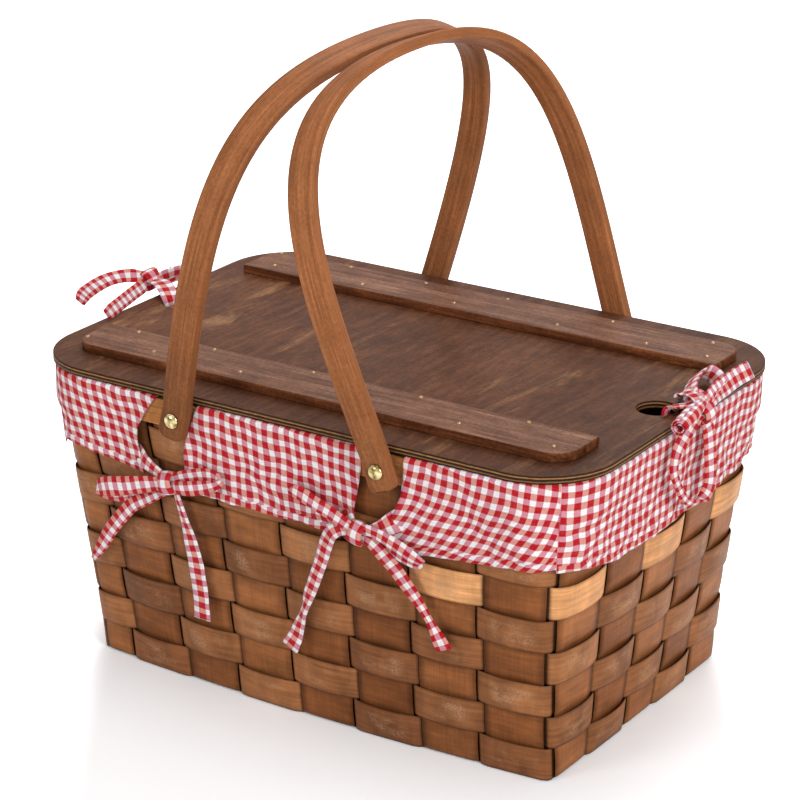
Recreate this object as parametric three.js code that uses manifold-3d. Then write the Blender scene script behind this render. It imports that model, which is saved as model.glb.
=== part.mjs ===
// Picnic basket of woven wood splints with a plywood lid, two bentwood swing handles,
// a gingham lining turned over the rim and tied bows.
// Millimetres, +Z up. X runs along the basket, -Y is the front, and the origin is the middle of the base.
import * as THREE from 'three';
import { mergeVertices } from 'three/addons/utils/BufferGeometryUtils.js';
import Module from 'manifold-3d';

const wasm = await Module();
wasm.setup();

// Driving dimensions: woven body, measured on the middle surface of the upright stakes
const BASE_LENGTH = 354;
const BASE_WIDTH = 221;
const TOP_LENGTH = 410;
const TOP_WIDTH = 277;
const RIM_HEIGHT = 210;
const BASE_CORNER_RADIUS = 10;
const TOP_CORNER_RADIUS = 50;
const CORNER_STEPS = 3;

// Driving dimensions: splints
const LONG_STAKES = 8;
const END_STAKES = 5;
const WEAVER_ROWS = 8;
const SPLINT_THICKNESS = 1.2;
const SPLINT_CLEARANCE = 0.3;
const STAKE_GAP = 4;
const STAKE_CORNER_GAP = 5;
const STAKE_BEND = 2.4;
const ROW_GAP = 0.7;
const WEAVER_CROWN = 0.8;
const RAMP_HALF = 1.5;
const CORNER_RAMP_HALF = 3.5;

// Driving dimensions: rim bands
const BAND_HEIGHT = 19;
const OUTER_BAND_THICKNESS = 3;
const INNER_BAND_THICKNESS = 2.5;

// Driving dimensions: lining and turned-over cuff
const CLOTH_THICKNESS = 1.2;
const LINING_INSET = 8;
const LINING_DROP = 1;
const CUFF_DEPTH = 62;
const CUFF_LIP_DEPTH = 7;
const CUFF_FOLD = 1.5;
const CUFF_FOLD_LENGTH = 42;
const SLIT_TOP_WIDTH = 32;
const SLIT_BOTTOM_WIDTH = 30;
const SLIT_TOP_SHIFT = -3;
const SLIT_BOTTOM_SHIFT = -17;

// Driving dimensions: lid
const LID_END_OVERHANG = 5;
const LID_SIDE_OVERHANG = 3.5;
const LID_THICKNESS = 5.5;
const LID_CORNER_RADIUS = 50;
const THUMB_HOLE_DIAMETER = 26;
const THUMB_HOLE_EDGE = 10;
const BATTEN_LENGTH = 378;
const BATTEN_WIDTH = 41;
const BATTEN_THICKNESS = 6;
const BATTEN_EDGE_MARGIN = 26.5;
const BATTEN_CORNER_RADIUS = 16;

// Driving dimensions: handles, each bent a little differently, and their rivets
const HANDLE_SPACING = 156;
const HANDLE_WIDTH = 19;
const HANDLE_THICKNESS = 7.5;
const HANDLE_CHAMFER = 1.6;
const HANDLE_FOOT = 13;
const HANDLE_FOOT_CORNER = 5;
const HANDLE_STRAIGHT = 9;
const LEFT_RISE = 231.5;
const LEFT_SHOULDER_RISE = 168;
const LEFT_SHOULDER_REACH = 23.5;
const LEFT_CROWN_REACH = 1.5;
const RIGHT_RISE = 238.5;
const RIGHT_SHOULDER_RISE = 120.5;
const RIGHT_SHOULDER_REACH = 8;
const RIGHT_CROWN_REACH = 36.5;
const LEFT_CROWN_SHARE = 0.349;
const CROWN_GAP = 4.3;
const PIVOT_DROP = 8;
const RIVET_HEAD_DIAMETER = 12;
const RIVET_HEAD_HEIGHT = 3;
const RIVET_SHANK_DIAMETER = 5;
const RIVET_TAIL_DIAMETER = 7.4;
const RIVET_TAIL_HEIGHT = 1.2;
const BURR_DIAMETER = 11;
const BURR_THICKNESS = 1.1;
const WASHER_DIAMETER = 13;
const WASHER_THICKNESS = 2.2;

// Driving dimensions: cloth ties
const TIE_WIDTH = 11;
const TIE_THICKNESS = 1.4;
const KNOT_RADIUS = 6.2;
const KNOT_DEPTH = 3.4;
const KNOT_RISE = 3;
const LOOP_FRONT = 1.2;
const LOOP_REAR = 2;
const LOOP_SPREAD = 1;
const USUAL_TIE_WIDTH = 11;

// Gaps between pieces that touch on the real basket
const CLEARANCE = 0.3;
const SEAT_GAP = 0.05;

// Fineness of the round shapes
const SLIVER = 0.05;
const ROUND_STEPS = 10;
const HANDLE_STEPS = 26;
const FOOT_STEPS = 4;
const DOME_STEPS = 3;
const KNOT_STEPS = 6;
const CUFF_STEPS_PER_FOLD = 5;
const LOOP_STEPS = 9;
const TAIL_STEPS = 6;
const STRAP_STEPS = 8;
const SHORT_TIE_STEPS = 3;
const STRIP_STEPS_PER_POINT = 1.5;

// Sizes that follow from the driving dimensions
const HALF_SPLINT = SPLINT_THICKNESS / 2;
const WEAVE_RISE = SPLINT_THICKNESS + SPLINT_CLEARANCE;
const FLOOR_MID = WEAVE_RISE + HALF_SPLINT;
const FLOOR_TOP = 2 * FLOOR_MID;
const BAND_OFFSET = HALF_SPLINT + CLEARANCE;
const BAND_OUTSIDE = BAND_OFFSET + OUTER_BAND_THICKNESS;
const BAND_INSIDE = BAND_OFFSET + INNER_BAND_THICKNESS;
const BAND_BOTTOM = RIM_HEIGHT - BAND_HEIGHT;
const ROWS_BOTTOM = FLOOR_TOP + CLEARANCE;
const ROW_HEIGHT = (BAND_BOTTOM - ROWS_BOTTOM) / WEAVER_ROWS;
const CUFF_INSIDE = BAND_OUTSIDE + CLEARANCE;
const CUFF_OUTSIDE = CUFF_INSIDE + CLOTH_THICKNESS;
const CUFF_TOP = RIM_HEIGHT + CLEARANCE + CLOTH_THICKNESS;
const CUFF_BOTTOM = CUFF_TOP - CUFF_DEPTH;
const LID_BOTTOM = CUFF_TOP + CLEARANCE;
const LID_TOP = LID_BOTTOM + LID_THICKNESS;
const LID_LENGTH = TOP_LENGTH + 2 * LID_END_OVERHANG;
const LID_WIDTH = TOP_WIDTH + 2 * LID_SIDE_OVERHANG;
const PIVOT_X = HANDLE_SPACING / 2;
const PIVOT_Z = RIM_HEIGHT - PIVOT_DROP;
const SIDES = [-1, 1];

const COLOURS = {
  stake: 0x7a5133, weaver: 0x85593a, band: 0x9c6b42, lid: 0x5f4437, batten: 0x66483a,
  handle: 0x965a37, brass: 0xc9a45c, cloth: 0xd98a93, tie: 0xcf5f6c,
};

const group = new THREE.Group();

function addMesh(name, geometry, colour, roughness = 0.6, metalness = 0, parent = group) {
  const material = new THREE.MeshStandardMaterial({ color: colour, roughness, metalness });
  const mesh = new THREE.Mesh(geometry, material);
  mesh.name = name;
  parent.add(mesh);
  return mesh;
}

// Mesh building

function geometryFrom(points, triangles) {
  const flat = points.flatMap((p) => [p.x, p.y, p.z]);
  let volume = 0;
  for (const [a, b, c] of triangles) {
    volume += points[a].dot(new THREE.Vector3().crossVectors(points[b], points[c]));
  }
  const outward = volume > 0 ? triangles : triangles.map(([a, b, c]) => [a, c, b]);
  const geometry = new THREE.BufferGeometry();
  geometry.setAttribute('position', new THREE.Float32BufferAttribute(flat, 3));
  geometry.setIndex(outward.flat());
  return geometry;
}

// A sheet with thickness: face and back are grids of points, rows along its length.
// A closed slab joins its last row to its first.
function slab(face, back, closed = false) {
  const rows = face.length;
  const columns = face[0].length;
  const points = [...face.flat(), ...back.flat()];
  const backStart = rows * columns;
  const triangles = [];
  const quad = (a, b, c, d) => triangles.push([a, b, c], [a, c, d]);
  const lastRow = closed ? rows : rows - 1;
  for (let i = 0; i < lastRow; i++) {
    const here = i * columns;
    const next = ((i + 1) % rows) * columns;
    for (let j = 0; j < columns - 1; j++) {
      quad(here + j, here + j + 1, next + j + 1, next + j);
      quad(backStart + here + j, backStart + next + j, backStart + next + j + 1, backStart + here + j + 1);
    }
    const edge = columns - 1;
    quad(here, next, backStart + next, backStart + here);
    quad(here + edge, backStart + here + edge, backStart + next + edge, next + edge);
  }
  if (!closed) {
    const end = (rows - 1) * columns;
    for (let j = 0; j < columns - 1; j++) {
      quad(j, backStart + j, backStart + j + 1, j + 1);
      quad(end + j, end + j + 1, backStart + end + j + 1, backStart + end + j);
    }
  }
  return geometryFrom(points, triangles);
}

// A solid through convex sections of equal point count, with flat ends.
function loft(sections) {
  const count = sections[0].length;
  const points = sections.flat();
  const triangles = [];
  for (let i = 0; i < sections.length - 1; i++) {
    for (let j = 0; j < count; j++) {
      const a = i * count + j;
      const b = i * count + (j + 1) % count;
      triangles.push([a, b, b + count], [a, b + count, a + count]);
    }
  }
  const end = (sections.length - 1) * count;
  for (let j = 1; j < count - 1; j++) {
    triangles.push([0, j + 1, j], [end, end + j, end + j + 1]);
  }
  return geometryFrom(points, triangles);
}

function toSolid(geometry) {
  const bare = new THREE.BufferGeometry();
  bare.setAttribute('position', geometry.getAttribute('position').clone());
  if (geometry.index) bare.setIndex(geometry.index.clone());
  const merged = mergeVertices(bare, 1e-4);
  const vertProperties = new Float32Array(merged.getAttribute('position').array);
  const triVerts = new Uint32Array(merged.index.array);
  return new wasm.Manifold(new wasm.Mesh({ numProp: 3, vertProperties, triVerts }));
}

function fromSolid(solid) {
  const mesh = solid.getMesh();
  const geometry = new THREE.BufferGeometry();
  geometry.setAttribute('position', new THREE.BufferAttribute(new Float32Array(mesh.vertProperties), 3));
  geometry.setIndex(new THREE.BufferAttribute(new Uint32Array(mesh.triVerts), 1));
  return geometry;
}

function cut(geometry, tools) {
  return fromSolid(tools.reduce((solid, tool) => solid.subtract(toSolid(tool)), toSolid(geometry)));
}

// Joins pieces into one solid. Pockets closed in between them are filled, and slivers are smoothed away.
function join(geometries) {
  const whole = geometries.map(toSolid).reduce((a, b) => a.add(b)).simplify(SLIVER);
  const shells = whole.decompose().sort((a, b) => b.volume() - a.volume());
  return fromSolid(shells[0]);
}

// Basket walls. Run 0 is the front, 1 the right end, 2 the back and 3 the left end.
// A place on a run is an arc length from the middle of that wall, up to the middle of the corner.

const FRONT = 0;
const RIGHT = 1;
const BACK = 2;
const LEFT = 3;

function wallSection(z) {
  const rise = (z - FLOOR_MID) / (RIM_HEIGHT - FLOOR_MID);
  return {
    halfLength: THREE.MathUtils.lerp(BASE_LENGTH, TOP_LENGTH, rise) / 2,
    halfWidth: THREE.MathUtils.lerp(BASE_WIDTH, TOP_WIDTH, rise) / 2,
    radius: THREE.MathUtils.lerp(BASE_CORNER_RADIUS, TOP_CORNER_RADIUS, rise),
  };
}

function runAt(run, z) {
  const { halfLength, halfWidth, radius } = wallSection(z);
  const long = run === FRONT || run === BACK;
  const flat = (long ? halfLength : halfWidth) - radius;
  const corner = radius * Math.PI / 4;
  const count = long ? LONG_STAKES : END_STAKES;
  const pitch = (2 * (flat + corner - STAKE_CORNER_GAP) + STAKE_GAP) / count;
  return { flat, corner, reach: flat + corner, radius, depth: long ? halfWidth : halfLength, count, pitch };
}

// A point on a wall's run, moved outward by offset.
function wallPoint(run, arc, z, offset = 0) {
  const { flat, radius, depth } = runAt(run, z);
  const angle = Math.max(0, Math.abs(arc) - flat) / radius;
  const straight = Math.min(Math.abs(arc), flat);
  const along = Math.sign(arc) * (straight + (radius + offset) * Math.sin(angle));
  const out = depth - radius + (radius + offset) * Math.cos(angle);
  if (run === FRONT) return new THREE.Vector3(along, -out, z);
  if (run === RIGHT) return new THREE.Vector3(out, along, z);
  if (run === BACK) return new THREE.Vector3(-along, out, z);
  return new THREE.Vector3(-out, -along, z);
}

function outwardAt(run, arc, z) {
  return wallPoint(run, arc, z, 1).sub(wallPoint(run, arc, z));
}

function stakeEdges(run, index, z) {
  const { reach, pitch } = runAt(run, z);
  const start = -reach + STAKE_CORNER_GAP + index * pitch;
  return [start, start + pitch - STAKE_GAP];
}

// Arc places of a corner's facets, from the flat of the wall to the edge of the outermost stake.
function cornerArcs(run, z) {
  const { flat, corner } = runAt(run, z);
  const step = (corner - STAKE_CORNER_GAP) / CORNER_STEPS;
  return Array.from({ length: CORNER_STEPS + 1 }, (_, i) => flat + step * i);
}

// Places across a stake: its two edges, with the corner's facets between them on the outermost stakes.
function stakeArcs(run, index, z) {
  const [start, end] = stakeEdges(run, index, z);
  const { count } = runAt(run, z);
  const facets = cornerArcs(run, z);
  if (index === count - 1) return [start, ...facets];
  if (index === 0) return [...facets.map((a) => -a).reverse(), end];
  return [start, end];
}

// Stations round a corner, on the run before it (side 1) or from its middle on the run after it (side -1).
// A station is a run with an arc place at any height.
function cornerStations(run, side) {
  const facets = Array.from({ length: CORNER_STEPS + 1 }, (_, i) => (
    { run, arc: (z) => side * cornerArcs(run, z)[i] }));
  return side > 0 ? facets : [{ run, arc: (z) => -runAt(run, z).reach }, ...facets.reverse()];
}

// Stakes: one splint up a wall, under the floor and up the wall opposite.

const WALL_HEIGHTS = [1, 0.66, 0.33].map((share) => THREE.MathUtils.lerp(FLOOR_MID, RIM_HEIGHT, share));

// Sections of the part of a stake on one wall, from the rim down into the bend at the floor.
// Each section is a row of middle points with the direction of the stake's outer side.
function stakeWallSections(run, index) {
  const heights = [...WALL_HEIGHTS, FLOOR_MID + STAKE_BEND];
  const sections = heights.map((z) => stakeArcs(run, index, z).map((arc) => ({
    point: wallPoint(run, arc, z),
    side: outwardAt(run, arc, z),
  })));
  const bendInset = STAKE_BEND * (1 - Math.SQRT1_2);
  const down = new THREE.Vector3(0, 0, -1);
  sections.push(stakeArcs(run, index, FLOOR_MID).map((arc) => ({
    point: wallPoint(run, arc, FLOOR_MID, -bendInset).setZ(FLOOR_MID + bendInset),
    side: outwardAt(run, arc, FLOOR_MID).add(down).normalize(),
  })));
  sections.push(stakeArcs(run, index, FLOOR_MID).map((arc) => ({
    point: wallPoint(run, arc, FLOOR_MID, -STAKE_BEND),
    side: down,
  })));
  return sections;
}

function stakeFrom(sections) {
  const moved = (distance) => sections.map((row) => row.map(
    ({ point, side }) => point.clone().addScaledVector(side, distance)));
  return slab(moved(HALF_SPLINT), moved(-HALF_SPLINT));
}

const mirrorRow = (row) => [...row].reverse();

function crossStake(index) {
  const front = stakeWallSections(FRONT, index);
  const back = stakeWallSections(BACK, LONG_STAKES - 1 - index).map(mirrorRow);
  return stakeFrom([...front, ...back.reverse()]);
}

// Where a cross stake lies on the floor, from its left edge to its right edge.
function crossStakeSpan(index) {
  return stakeEdges(FRONT, index, FLOOR_MID).map((arc) => wallPoint(FRONT, arc, FLOOR_MID, -STAKE_BEND).x);
}

// A long stake weaves over and under the cross stakes on the floor.
function longStake(index) {
  const right = stakeWallSections(RIGHT, index);
  const left = stakeWallSections(LEFT, END_STAKES - 1 - index).map(mirrorRow);
  const floorEnd = right[right.length - 1];
  const floorRow = (x, z) => floorEnd.map(({ point, side }) => (
    { point: new THREE.Vector3(x, point.y, z), side }));
  const floor = [];
  for (let j = LONG_STAKES - 1; j >= 0; j--) {
    const [start, end] = crossStakeSpan(j);
    const over = (index + j) % 2 === 1;
    const level = FLOOR_MID + (over ? WEAVE_RISE : -WEAVE_RISE);
    const lead = STAKE_GAP / 2 - RAMP_HALF;
    floor.push(floorRow(end + lead, level), floorRow(start - lead, level));
  }
  return stakeFrom([...right, ...floor, ...left.reverse()]);
}

// Weavers: one splint round the basket, outside one stake and inside the next.
// Each station gives a place on a run at any height, and how far out the weaver lies there.
function weaverStations(row) {
  const stations = [];
  let stakeNumber = 0;
  for (const run of [FRONT, RIGHT, BACK, LEFT]) {
    const { count } = runAt(run, FLOOR_MID);
    for (let k = 0; k < count; k++) {
      const over = (stakeNumber + row) % 2 === 0;
      const level = over ? WEAVE_RISE : -WEAVE_RISE;
      const first = k === 0;
      const last = k === count - 1;
      const startLead = first ? STAKE_CORNER_GAP - CORNER_RAMP_HALF : STAKE_GAP / 2 - RAMP_HALF;
      const endLead = last ? STAKE_CORNER_GAP - CORNER_RAMP_HALF : STAKE_GAP / 2 - RAMP_HALF;
      stations.push({ run, arc: (z) => stakeEdges(run, k, z)[0] - startLead, level });
      if (first) {
        for (let i = CORNER_STEPS - 1; i >= 0; i--) {
          stations.push({ run, arc: (z) => -cornerArcs(run, z)[i], level });
        }
      }
      if (over) {
        const middle = (z) => (stakeEdges(run, k, z)[0] + stakeEdges(run, k, z)[1]) / 2;
        stations.push({ run, arc: middle, level: level + WEAVER_CROWN });
      }
      if (last) {
        for (let i = 0; i < CORNER_STEPS; i++) {
          stations.push({ run, arc: (z) => cornerArcs(run, z)[i], level });
        }
      }
      stations.push({ run, arc: (z) => stakeEdges(run, k, z)[1] + endLead, level });
      stakeNumber += 1;
    }
  }
  return stations;
}

function ringSlab(stations, bottom, top, outside, inside) {
  const side = (offset) => stations.map(({ run, arc, level = 0 }) => [bottom, top].map(
    (z) => wallPoint(run, arc(z), z, level + offset)));
  return slab(side(outside), side(inside), true);
}

function weaver(row) {
  const bottom = ROWS_BOTTOM + (row - 1) * ROW_HEIGHT;
  const top = bottom + ROW_HEIGHT - ROW_GAP;
  return ringSlab(weaverStations(row), bottom, top, HALF_SPLINT, -HALF_SPLINT);
}

// Stations of a plain ring that follows the walls: the facets of each corner and the flats between.
function ringStations() {
  const runs = [FRONT, RIGHT, BACK, LEFT];
  return runs.flatMap((run) => [...cornerStations(run, -1), ...cornerStations(run, 1)]);
}

const rimBand = (outside, inside) => ringSlab(ringStations(), BAND_BOTTOM, RIM_HEIGHT, outside, inside);

// Lining bag, open at the top, hanging inside the woven walls.
function liningBag() {
  const ring = (z, height, inset) => ringStations().map(({ run, arc }) => (
    wallPoint(run, arc(z), z, -inset).setZ(height)));
  const bottom = FLOOR_TOP + CLEARANCE;
  const top = RIM_HEIGHT - LINING_DROP;
  const outer = loft([ring(bottom, bottom, LINING_INSET), ring(top, top, LINING_INSET)]);
  const inset = LINING_INSET + CLOTH_THICKNESS;
  const floor = bottom + CLOTH_THICKNESS;
  const above = top + CLOTH_THICKNESS;
  const hollow = loft([ring(floor, floor, inset), ring(above, above, inset)]);
  return cut(outer, [hollow]);
}

// Cuff panels: the lining turned over the rim, parted by a slit at each handle leg.

// Edges of a slit at a height, along the front wall. The back wall has the same slits turned half round.
function slitEdges(handleSide, z) {
  const share = (CUFF_TOP - z) / CUFF_DEPTH;
  const middle = handleSide * PIVOT_X + THREE.MathUtils.lerp(SLIT_TOP_SHIFT, SLIT_BOTTOM_SHIFT, share);
  const half = THREE.MathUtils.lerp(SLIT_TOP_WIDTH, SLIT_BOTTOM_WIDTH, share) / 2;
  return [middle - half, middle + half];
}

// The cuff's profile from the lip inside the rim, over the top and down the outside.
// Each step gives the offset of the cloth's face and back, a height and how much of the folds it takes.
const LIP_BACK = -BAND_INSIDE - CLEARANCE;
const LIP_FACE = LIP_BACK - CLOTH_THICKNESS;
const CUFF_PROFILE = [
  { face: LIP_FACE, back: LIP_BACK, lower: CUFF_LIP_DEPTH },
  { face: LIP_FACE, back: LIP_BACK, lower: 0 },
  { face: CUFF_OUTSIDE, back: CUFF_INSIDE, lower: 0 },
  { face: CUFF_OUTSIDE, back: CUFF_INSIDE, lower: CUFF_DEPTH * 0.4 },
  { face: CUFF_OUTSIDE, back: CUFF_INSIDE, lower: CUFF_DEPTH },
];

// A cuff panel through stations, each a run with an arc place at any height and a distance along the cuff.
function cuffPanel(stations) {
  const rows = (side) => stations.map(({ run, arc, distance }) => CUFF_PROFILE.map((step) => {
    const z = CUFF_TOP - step.lower - (side === 'back' && step.lower === 0 ? CLOTH_THICKNESS : 0);
    const hang = step.face > 0 ? step.lower / CUFF_DEPTH : 0;
    const fold = CUFF_FOLD * hang * (1 - Math.cos(2 * Math.PI * distance / CUFF_FOLD_LENGTH)) / 2;
    return wallPoint(run, arc(z), z, step[side] + fold);
  }));
  return slab(rows('face'), rows('back'));
}

// The short panel between the two slits of a long wall.
function middleCuff(run) {
  const start = slitEdges(-1, CUFF_BOTTOM)[1];
  const end = slitEdges(1, CUFF_BOTTOM)[0];
  const count = Math.round((end - start) / CUFF_FOLD_LENGTH) * CUFF_STEPS_PER_FOLD;
  return cuffPanel(Array.from({ length: count + 1 }, (_, i) => ({
    run,
    arc: (z) => THREE.MathUtils.lerp(slitEdges(-1, z)[1], slitEdges(1, z)[0], i / count),
    distance: (end - start) * i / count,
  })));
}

// The long panel round one end, from a front slit to a back slit.
function endCuff(endRun) {
  const before = (endRun + 3) % 4;
  const after = (endRun + 1) % 4;
  const between = (run, count, arcFrom, arcTo) => Array.from({ length: count - 1 }, (_, i) => (
    { run, arc: (z) => THREE.MathUtils.lerp(arcFrom(z), arcTo(z), (i + 1) / count) }));
  const flat = (run, side) => (z) => side * runAt(run, z).flat;
  const firstEdge = (z) => slitEdges(1, z)[1];
  const lastEdge = (z) => slitEdges(-1, z)[0];
  const stations = [
    { run: before, arc: firstEdge },
    ...between(before, 5, firstEdge, flat(before, 1)),
    ...cornerStations(before, 1),
    ...cornerStations(endRun, -1),
    ...between(endRun, 12, flat(endRun, -1), flat(endRun, 1)),
    ...cornerStations(endRun, 1),
    ...cornerStations(after, -1),
    ...between(after, 5, flat(after, -1), lastEdge),
    { run: after, arc: lastEdge },
  ];
  let walked = 0;
  let previous = null;
  for (const station of stations) {
    const here = wallPoint(station.run, station.arc(CUFF_BOTTOM), CUFF_BOTTOM);
    walked += previous ? here.distanceTo(previous) : 0;
    station.distance = walked / 2;
    previous = here;
  }
  return cuffPanel(stations);
}

// Lid board with a thumb hole at each end, and its two battens

const THUMB_HOLE_X = LID_LENGTH / 2 - THUMB_HOLE_EDGE - THUMB_HOLE_DIAMETER / 2;

// A rectangle with its own radius at each corner, from the lower left one round to the upper left one.
function roundedRectangle(length, width, radii) {
  const [x, y] = [length / 2, width / 2];
  const shape = new THREE.Shape();
  const corners = [[-1, -1, 180], [1, -1, 270], [1, 1, 0], [-1, 1, 90]];
  corners.forEach(([sx, sy, from], i) => {
    const radius = radii[i];
    if (radius === 0) {
      if (i === 0) shape.moveTo(sx * x, sy * y);
      else shape.lineTo(sx * x, sy * y);
      return;
    }
    const start = THREE.MathUtils.degToRad(from);
    shape.absarc(sx * (x - radius), sy * (y - radius), radius, start, start + Math.PI / 2, false);
  });
  shape.closePath();
  return shape;
}

function lidBoard() {
  const shape = roundedRectangle(LID_LENGTH, LID_WIDTH, Array(4).fill(LID_CORNER_RADIUS));
  for (const side of SIDES) {
    const hole = new THREE.Path();
    hole.absarc(side * THUMB_HOLE_X, 0, THUMB_HOLE_DIAMETER / 2, 0, 2 * Math.PI, true);
    shape.holes.push(hole);
  }
  return new THREE.ExtrudeGeometry(shape, { depth: LID_THICKNESS, bevelEnabled: false, curveSegments: 9 });
}

// The corners towards the lid's edge are rounded, the others square.
function batten(side) {
  const round = BATTEN_CORNER_RADIUS;
  const radii = side < 0 ? [round, round, 0, 0] : [0, 0, round, round];
  const shape = roundedRectangle(BATTEN_LENGTH, BATTEN_WIDTH, radii);
  const settings = { depth: BATTEN_THICKNESS, bevelEnabled: false, curveSegments: 6 };
  return new THREE.ExtrudeGeometry(shape, settings);
}

// Handles: a bent strip with chamfered edges, its legs outside the rim and clear of the lid

const LEG_INSIDE = wallSection(PIVOT_Z + WASHER_DIAMETER / 2).halfWidth + BAND_OUTSIDE
  + CLEARANCE + WASHER_THICKNESS + CLEARANCE;
const LEG_OUTSIDE = LEG_INSIDE + HANDLE_THICKNESS;

// Both arches stand up and lean inward until their crowns are side by side.
const LEFT_INWARD = HANDLE_SPACING * LEFT_CROWN_SHARE;
const RIGHT_INWARD = HANDLE_SPACING - LEFT_INWARD - HANDLE_WIDTH - CROWN_GAP;
const LEFT_ARCH = {
  top: LEFT_RISE - HANDLE_THICKNESS / 2,
  shoulderRise: LEFT_SHOULDER_RISE,
  shoulderReach: LEFT_SHOULDER_REACH,
  crownReach: LEFT_CROWN_REACH,
  inward: LEFT_INWARD,
};
const RIGHT_ARCH = {
  top: RIGHT_RISE - HANDLE_THICKNESS / 2,
  shoulderRise: RIGHT_SHOULDER_RISE,
  shoulderReach: RIGHT_SHOULDER_REACH,
  crownReach: RIGHT_CROWN_REACH,
  inward: RIGHT_INWARD,
};

// Middle line of an arch in its own plane, from just above the front pivot to just above the back pivot.
// The legs are straight at the rivets.
function archPath({ top, shoulderRise, shoulderReach, crownReach }) {
  const leg = LEG_INSIDE + HANDLE_THICKNESS / 2;
  const point = (y, z) => new THREE.Vector3(0, y, z);
  const half = (side) => [
    point(side * leg, HANDLE_STRAIGHT), point(side * (leg + shoulderReach), shoulderRise),
    point(side * (leg + crownReach), top), point(0, top),
  ];
  const path = new THREE.CurvePath();
  path.add(new THREE.CubicBezierCurve3(...half(-1)));
  path.add(new THREE.CubicBezierCurve3(...half(1).reverse()));
  return path;
}

// Section of the strip: width along X, thickness across the arch, corners chamfered.
function stripSection(centre, across, width) {
  const half = width / 2;
  const thick = HANDLE_THICKNESS / 2;
  const chamfer = Math.min(HANDLE_CHAMFER, half * 0.4);
  const corners = [
    [-half + chamfer, thick], [half - chamfer, thick], [half, thick - chamfer], [half, chamfer - thick],
    [half - chamfer, -thick], [-half + chamfer, -thick], [-half, chamfer - thick], [-half, thick - chamfer],
  ];
  return corners.map(([x, out]) => centre.clone().addScaledVector(across, out).setX(centre.x + x));
}

// The foot of a leg below its pivot, with rounded corners.
function footSections(side) {
  const y = side * (LEG_INSIDE + HANDLE_THICKNESS / 2);
  const outward = new THREE.Vector3(0, side, 0);
  return Array.from({ length: FOOT_STEPS }, (_, i) => {
    const angle = (Math.PI / 2) * i / (FOOT_STEPS - 1);
    const z = -HANDLE_FOOT + HANDLE_FOOT_CORNER * (1 - Math.cos(angle));
    const width = HANDLE_WIDTH - 2 * HANDLE_FOOT_CORNER * (1 - Math.sin(angle));
    return stripSection(new THREE.Vector3(0, y, z), outward, width);
  });
}

function archHandle(arch) {
  const path = archPath(arch);
  const sections = footSections(-1);
  for (let i = 0; i <= HANDLE_STEPS; i++) {
    const centre = path.getPointAt(i / HANDLE_STEPS);
    const tangent = path.getTangentAt(i / HANDLE_STEPS);
    const across = new THREE.Vector3(0, -tangent.z, tangent.y).normalize();
    sections.push(stripSection(centre, across, HANDLE_WIDTH));
  }
  sections.push(...footSections(1).reverse());
  const bores = SIDES.map((side) => {
    const radius = RIVET_SHANK_DIAMETER / 2 + CLEARANCE;
    const bore = new THREE.CylinderGeometry(radius, radius, 3 * HANDLE_THICKNESS, ROUND_STEPS);
    return bore.translate(0, side * (LEG_INSIDE + HANDLE_THICKNESS / 2), 0);
  });
  return cut(loft(sections), bores);
}

// Rivets: domed head outside the leg, shank through leg, washer, bands and stake, tail upset over a burr.
// Turned profiles stand on +Y, which points out of the basket.

const BURR_OUTSIDE = wallSection(PIVOT_Z - BURR_DIAMETER / 2).halfWidth - BAND_INSIDE - CLEARANCE;
const BURR_INSIDE = BURR_OUTSIDE - BURR_THICKNESS;
const WASHER_INSIDE = LEG_INSIDE - CLEARANCE - WASHER_THICKNESS;

function turned(profile) {
  return new THREE.LatheGeometry(profile.map(([r, y]) => new THREE.Vector2(r, y)), ROUND_STEPS);
}

function rivet() {
  const shank = RIVET_SHANK_DIAMETER / 2;
  const head = RIVET_HEAD_DIAMETER / 2;
  const seat = LEG_OUTSIDE + CLEARANCE;
  const tail = BURR_INSIDE - CLEARANCE;
  const dome = Array.from({ length: DOME_STEPS }, (_, i) => {
    const angle = (Math.PI / 2) * (i + 0.5) / DOME_STEPS;
    return [head * Math.cos(angle), seat + RIVET_HEAD_HEIGHT * Math.sin(angle)];
  });
  return turned([
    [0, tail - RIVET_TAIL_HEIGHT], [RIVET_TAIL_DIAMETER / 2, tail - RIVET_TAIL_HEIGHT / 2],
    [RIVET_TAIL_DIAMETER / 2, tail], [shank, tail], [shank, seat], [head, seat], ...dome,
    [0, seat + RIVET_HEAD_HEIGHT],
  ]);
}

function washerRing(diameter, inside, thickness) {
  const bore = RIVET_SHANK_DIAMETER / 2 + CLEARANCE;
  const rim = diameter / 2;
  return turned([
    [bore, inside], [rim, inside], [rim, inside + thickness], [bore, inside + thickness], [bore, inside],
  ]);
}

// A hole through everything that a handle's rivet passes, as a cutting tool at its place.
function rivetBore(handleSide, wallSide) {
  const radius = RIVET_SHANK_DIAMETER / 2 + CLEARANCE;
  const bore = new THREE.CylinderGeometry(radius, radius, 4 * LINING_INSET, ROUND_STEPS);
  return bore.translate(handleSide * PIVOT_X, wallSide * wallSection(PIVOT_Z).halfWidth, PIVOT_Z);
}

const rivetBores = SIDES.flatMap((handleSide) => SIDES.map((wallSide) => rivetBore(handleSide, wallSide)));

// Ties: flat strips of cloth along smooth lines, joined at a knot.
// The points of the bows are for ties of the usual width, and grow with it.
const BOW_SCALE = TIE_WIDTH / USUAL_TIE_WIDTH;

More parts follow.
